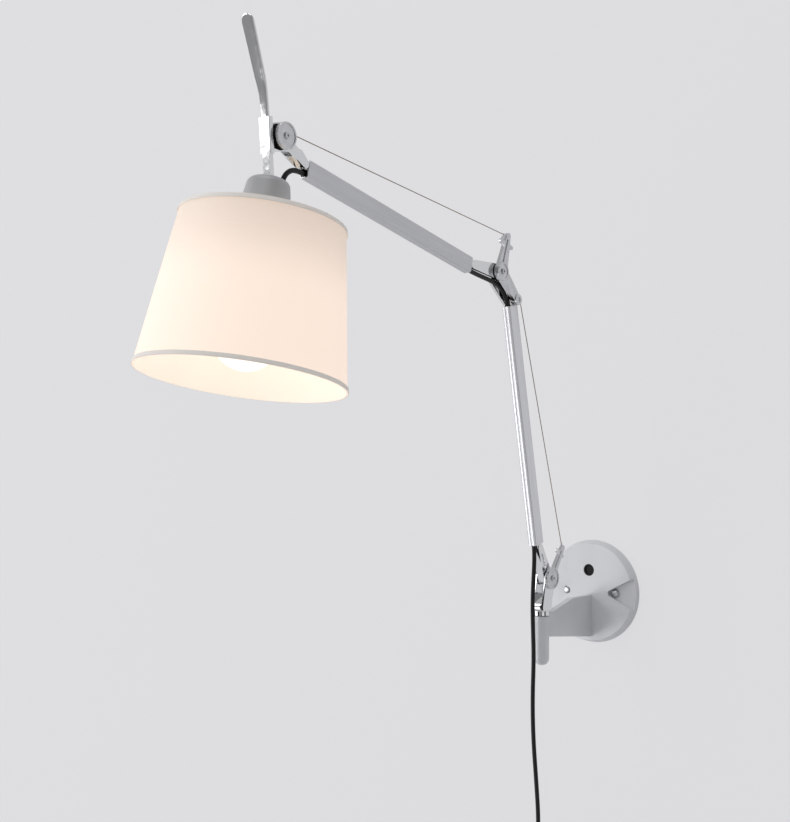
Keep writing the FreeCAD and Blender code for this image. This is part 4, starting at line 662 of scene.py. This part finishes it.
handleSettings = {"middle": -0.0152, "foot": 0.0159, "ringPoints": 24, "squareness": 0.6, "crease": 50,
                  "stations": [
    # height, shift outwards, lean in degrees, half width, half thickness
    (-0.002, 0.0, 0, 0.0044, 0.0018), (0.002, 0.0, 0, 0.0045, 0.0018),
    (0.011, -0.0004, 3, 0.00465, 0.0018), (0.02, -0.00105, 6, 0.0049, 0.0018),
    (0.0275, -0.0023, 10, 0.0055, 0.0018), (0.0336, -0.0038, 12.5, 0.00605, 0.0018),
    (0.046, -0.0069, 14, 0.00635, 0.0018), (0.06, -0.0103, 14, 0.0066, 0.0018),
    (0.071, -0.01305, 14, 0.0069, 0.0018), (0.08, -0.0153, 14, 0.00705, 0.0018),
    (0.0823, -0.01588, 14, 0.0066, 0.0018), (0.0843, -0.01636, 14, 0.0054, 0.00175),
    (0.0857, -0.01673, 14, 0.0037, 0.0017), (0.0865, -0.01692, 14, 0.0018, 0.0015)]}


def makeHandle():
    # a flat paddle drawn up station by station, each ring a soft oblong
    form = bmesh.new()
    verts = bmesh.ops.create_circle(form, segments=handleSettings["ringPoints"], radius=1)["verts"]
    base = []
    for vert in verts:
        angle = math.atan2(vert.co.y, vert.co.x)
        base.append([math.copysign(abs(part) ** handleSettings["squareness"], part)
                     for part in (math.cos(angle), math.sin(angle))])
    edges = form.edges[:]
    for index, (rise, shift, lean, half, thin) in enumerate(handleSettings["stations"]):
        if index:
            grown = bmesh.ops.extrude_edge_only(form, edges=edges)["geom"]
            fresh = [g for g in grown if isinstance(g, bmesh.types.BMVert)]
            edges = [g for g in grown if isinstance(g, bmesh.types.BMEdge)]
            verts = [min(fresh, key=lambda v: (spot - v.co).length) for spot in last]
        place = (Matrix.Translation((0, handleSettings["middle"] + shift, handleSettings["foot"] + rise))
                 @ Matrix.Rotation(math.radians(lean), 4, "X"))
        for vert, (across, deep) in zip(verts, base):
            vert.co = place @ Vector((across * half, deep * thin, 0))
        last = [vert.co.copy() for vert in verts]
    bmesh.ops.holes_fill(form, edges=[e for e in form.edges if e.is_boundary], sides=0)
    bmesh.ops.transform(form, matrix=blockFrame, verts=form.verts)
    meshPiece("headHandle", form, finishes["polished"], "head", "head_handle",
              handleSettings["crease"])


ferruleSettings = {"length": 0.0045, "radius": 0.0011, "round": 0.00033, "sides": 20, "fromHook": 0.001}


def makeFerrule(name, start, way, body):
    # a crimped sleeve that ends a steel cable
    form = bmesh.new()
    radius = ferruleSettings["radius"]
    bmesh.ops.create_cone(form, cap_ends=True, segments=ferruleSettings["sides"], radius1=radius,
                          radius2=radius, depth=ferruleSettings["length"])
    rims = [e for e in form.edges if e.calc_face_angle() > 1]
    bmesh.ops.bevel(form, geom=rims, offset=ferruleSettings["round"], offset_type="OFFSET", segments=2,
                    profile=0.5, affect="EDGES", clamp_overlap=True, material=-1)
    turn = Vector((0, 0, 1)).rotation_difference(way.normalized()).to_matrix().to_4x4()
    bmesh.ops.transform(form, matrix=Matrix.Translation(start) @ turn, verts=form.verts)
    meshPiece(name, form, finishes["screws"], body, None)


makeCup()
makeGrommet()
makeHandle()
hookUp = (guideTangent - leverHook).normalized()
makeFerrule("leverFerrule", leverHook + hookUp * ferruleSettings["fromHook"], hookUp, "swivel")
makeFerrule("hornFerrule", hornPoint, hubPoint - hornPoint, "lower_arm")
print("cup, handle and fittings made")

stageSettings = {"wall": "#DEDEE0", "seen": "#E1E1E3", "paper": 0.86, "size": 6.0,
                 "wallPlace": (0, 0.0004, 0.6), "floorHeight": -1.3}


def plainPaper(name, colour):
    # a matt sheet: it keeps the lamp's soft shadow, and from behind it lets the view through
    material, tree, shader, where = newFinish(name, colour, 0.0, 1.0)
    shader.inputs["Specular IOR Level"].default_value = 0.0
    cameraRay = addNode(tree, "ShaderNodeLightPath", out="Is Camera Ray")
    glossyRay = addNode(tree, "ShaderNodeLightPath", out="Is Glossy Ray")
    direct = addNode(tree, "ShaderNodeMath", {0: cameraRay, 1: glossyRay}, operation="MAXIMUM")
    share = addNode(tree, "ShaderNodeMath", {0: direct, 1: stageSettings["paper"]}, operation="MULTIPLY")
    even = addNode(tree, "ShaderNodeEmission", {"Color": hexColour(stageSettings["seen"]), "Strength": 1.0})
    front = addNode(tree, "ShaderNodeMixShader", {0: share, 1: shader.outputs[0], 2: even})
    behind = addNode(tree, "ShaderNodeNewGeometry", out="Backfacing")
    clear = addNode(tree, "ShaderNodeBsdfTransparent")
    addNode(tree, "ShaderNodeMixShader", {0: behind, 1: front, 2: clear}, 0,
            tree.nodes["Material Output"].inputs["Surface"])
    return material


def stagePlane(name, place, turn, material):
    form = bmesh.new()
    bmesh.ops.create_grid(form, x_segments=1, y_segments=1, size=stageSettings["size"] / 2)
    bmesh.ops.transform(form, matrix=Matrix.Translation(place) @ Matrix.Rotation(math.radians(turn), 4, "X"),
                        verts=form.verts)
    mesh = bpy.data.meshes.new(name)
    form.to_mesh(mesh)
    form.free()
    mesh.materials.append(material)
    piece = bpy.data.objects.new(name, mesh)
    bpy.context.scene.collection.objects.link(piece)


paper = plainPaper("plainWallPaint", stageSettings["wall"])
stagePlane("wall", stageSettings["wallPlace"], 90, paper)
stagePlane("floor", (0, -stageSettings["size"] / 2, stageSettings["floorHeight"]), 0, paper)

lampSettings = [
    # name, place, aim, width, height, power
    ("highSoftbox", (-1.75, -2.1, 1.17), (0, -0.25, 0.3), 1.5, 1.1, 15),
    ("lowSoftbox", (-1.75, -2.1, -0.68), (0, -0.25, 0.2), 1.5, 1.0, 12),
    ("topSoftbox", (0.2, -0.9, 2.1), (0, -0.3, 0.2), 1.2, 1.2, 9),
    ("sideFill", (1.95, -1.5, 0.3), (0, -0.2, 0.2), 1.2, 1.8, 5),
    ("leftStrip", (-2.3, -0.6, 0.5), (0, -0.3, 0.3), 0.8, 2.2, 5)]
for name, place, aim, width, height, power in lampSettings:
    lamp = bpy.data.lights.new(name, "AREA")
    lamp.shape = "RECTANGLE"
    lamp.size = width
    lamp.size_y = height
    lamp.energy = power
    holder = bpy.data.objects.new(name, lamp)
    holder.location = place
    holder.rotation_euler = (Vector(aim) - Vector(place)).to_track_quat("-Z", "Y").to_euler()
    bpy.context.scene.collection.objects.link(holder)

# the room is brighter overhead and darker on the far side; a ray from the camera sees one even grey
roomSettings = {"colour": (1, 1, 1.01, 1), "seen": 0.72,
                "upright": {"From Min": -0.6, "From Max": 0.8, "To Min": 0.22, "To Max": 0.52},
                "sideways": {"From Min": -0.1, "From Max": 0.9, "To Min": 1.0, "To Max": 0.4}}
world = bpy.data.worlds.new("studio")
bpy.context.scene.world = world
world.use_nodes = True
sky = world.node_tree
lit = sky.nodes["Background"]
lit.inputs["Color"].default_value = roomSettings["colour"]
way = addNode(sky, "ShaderNodeTexCoord", out="Generated")
upwards = addNode(sky, "ShaderNodeSeparateXYZ", {0: way}, "Z")
across = addNode(sky, "ShaderNodeSeparateXYZ", {0: way}, "X")
bright = addNode(sky, "ShaderNodeMapRange", {"Value": upwards, **roomSettings["upright"]})
dim = addNode(sky, "ShaderNodeMapRange", {"Value": across, **roomSettings["sideways"]})
room = addNode(sky, "ShaderNodeMath", {0: bright, 1: dim}, operation="MULTIPLY")
cameraRay = addNode(sky, "ShaderNodeLightPath", out="Is Camera Ray")
addNode(sky, "ShaderNodeMix", {0: cameraRay, 2: room, 3: roomSettings["seen"]}, 0, lit.inputs["Strength"],
        data_type="FLOAT")
print("stage and light set")
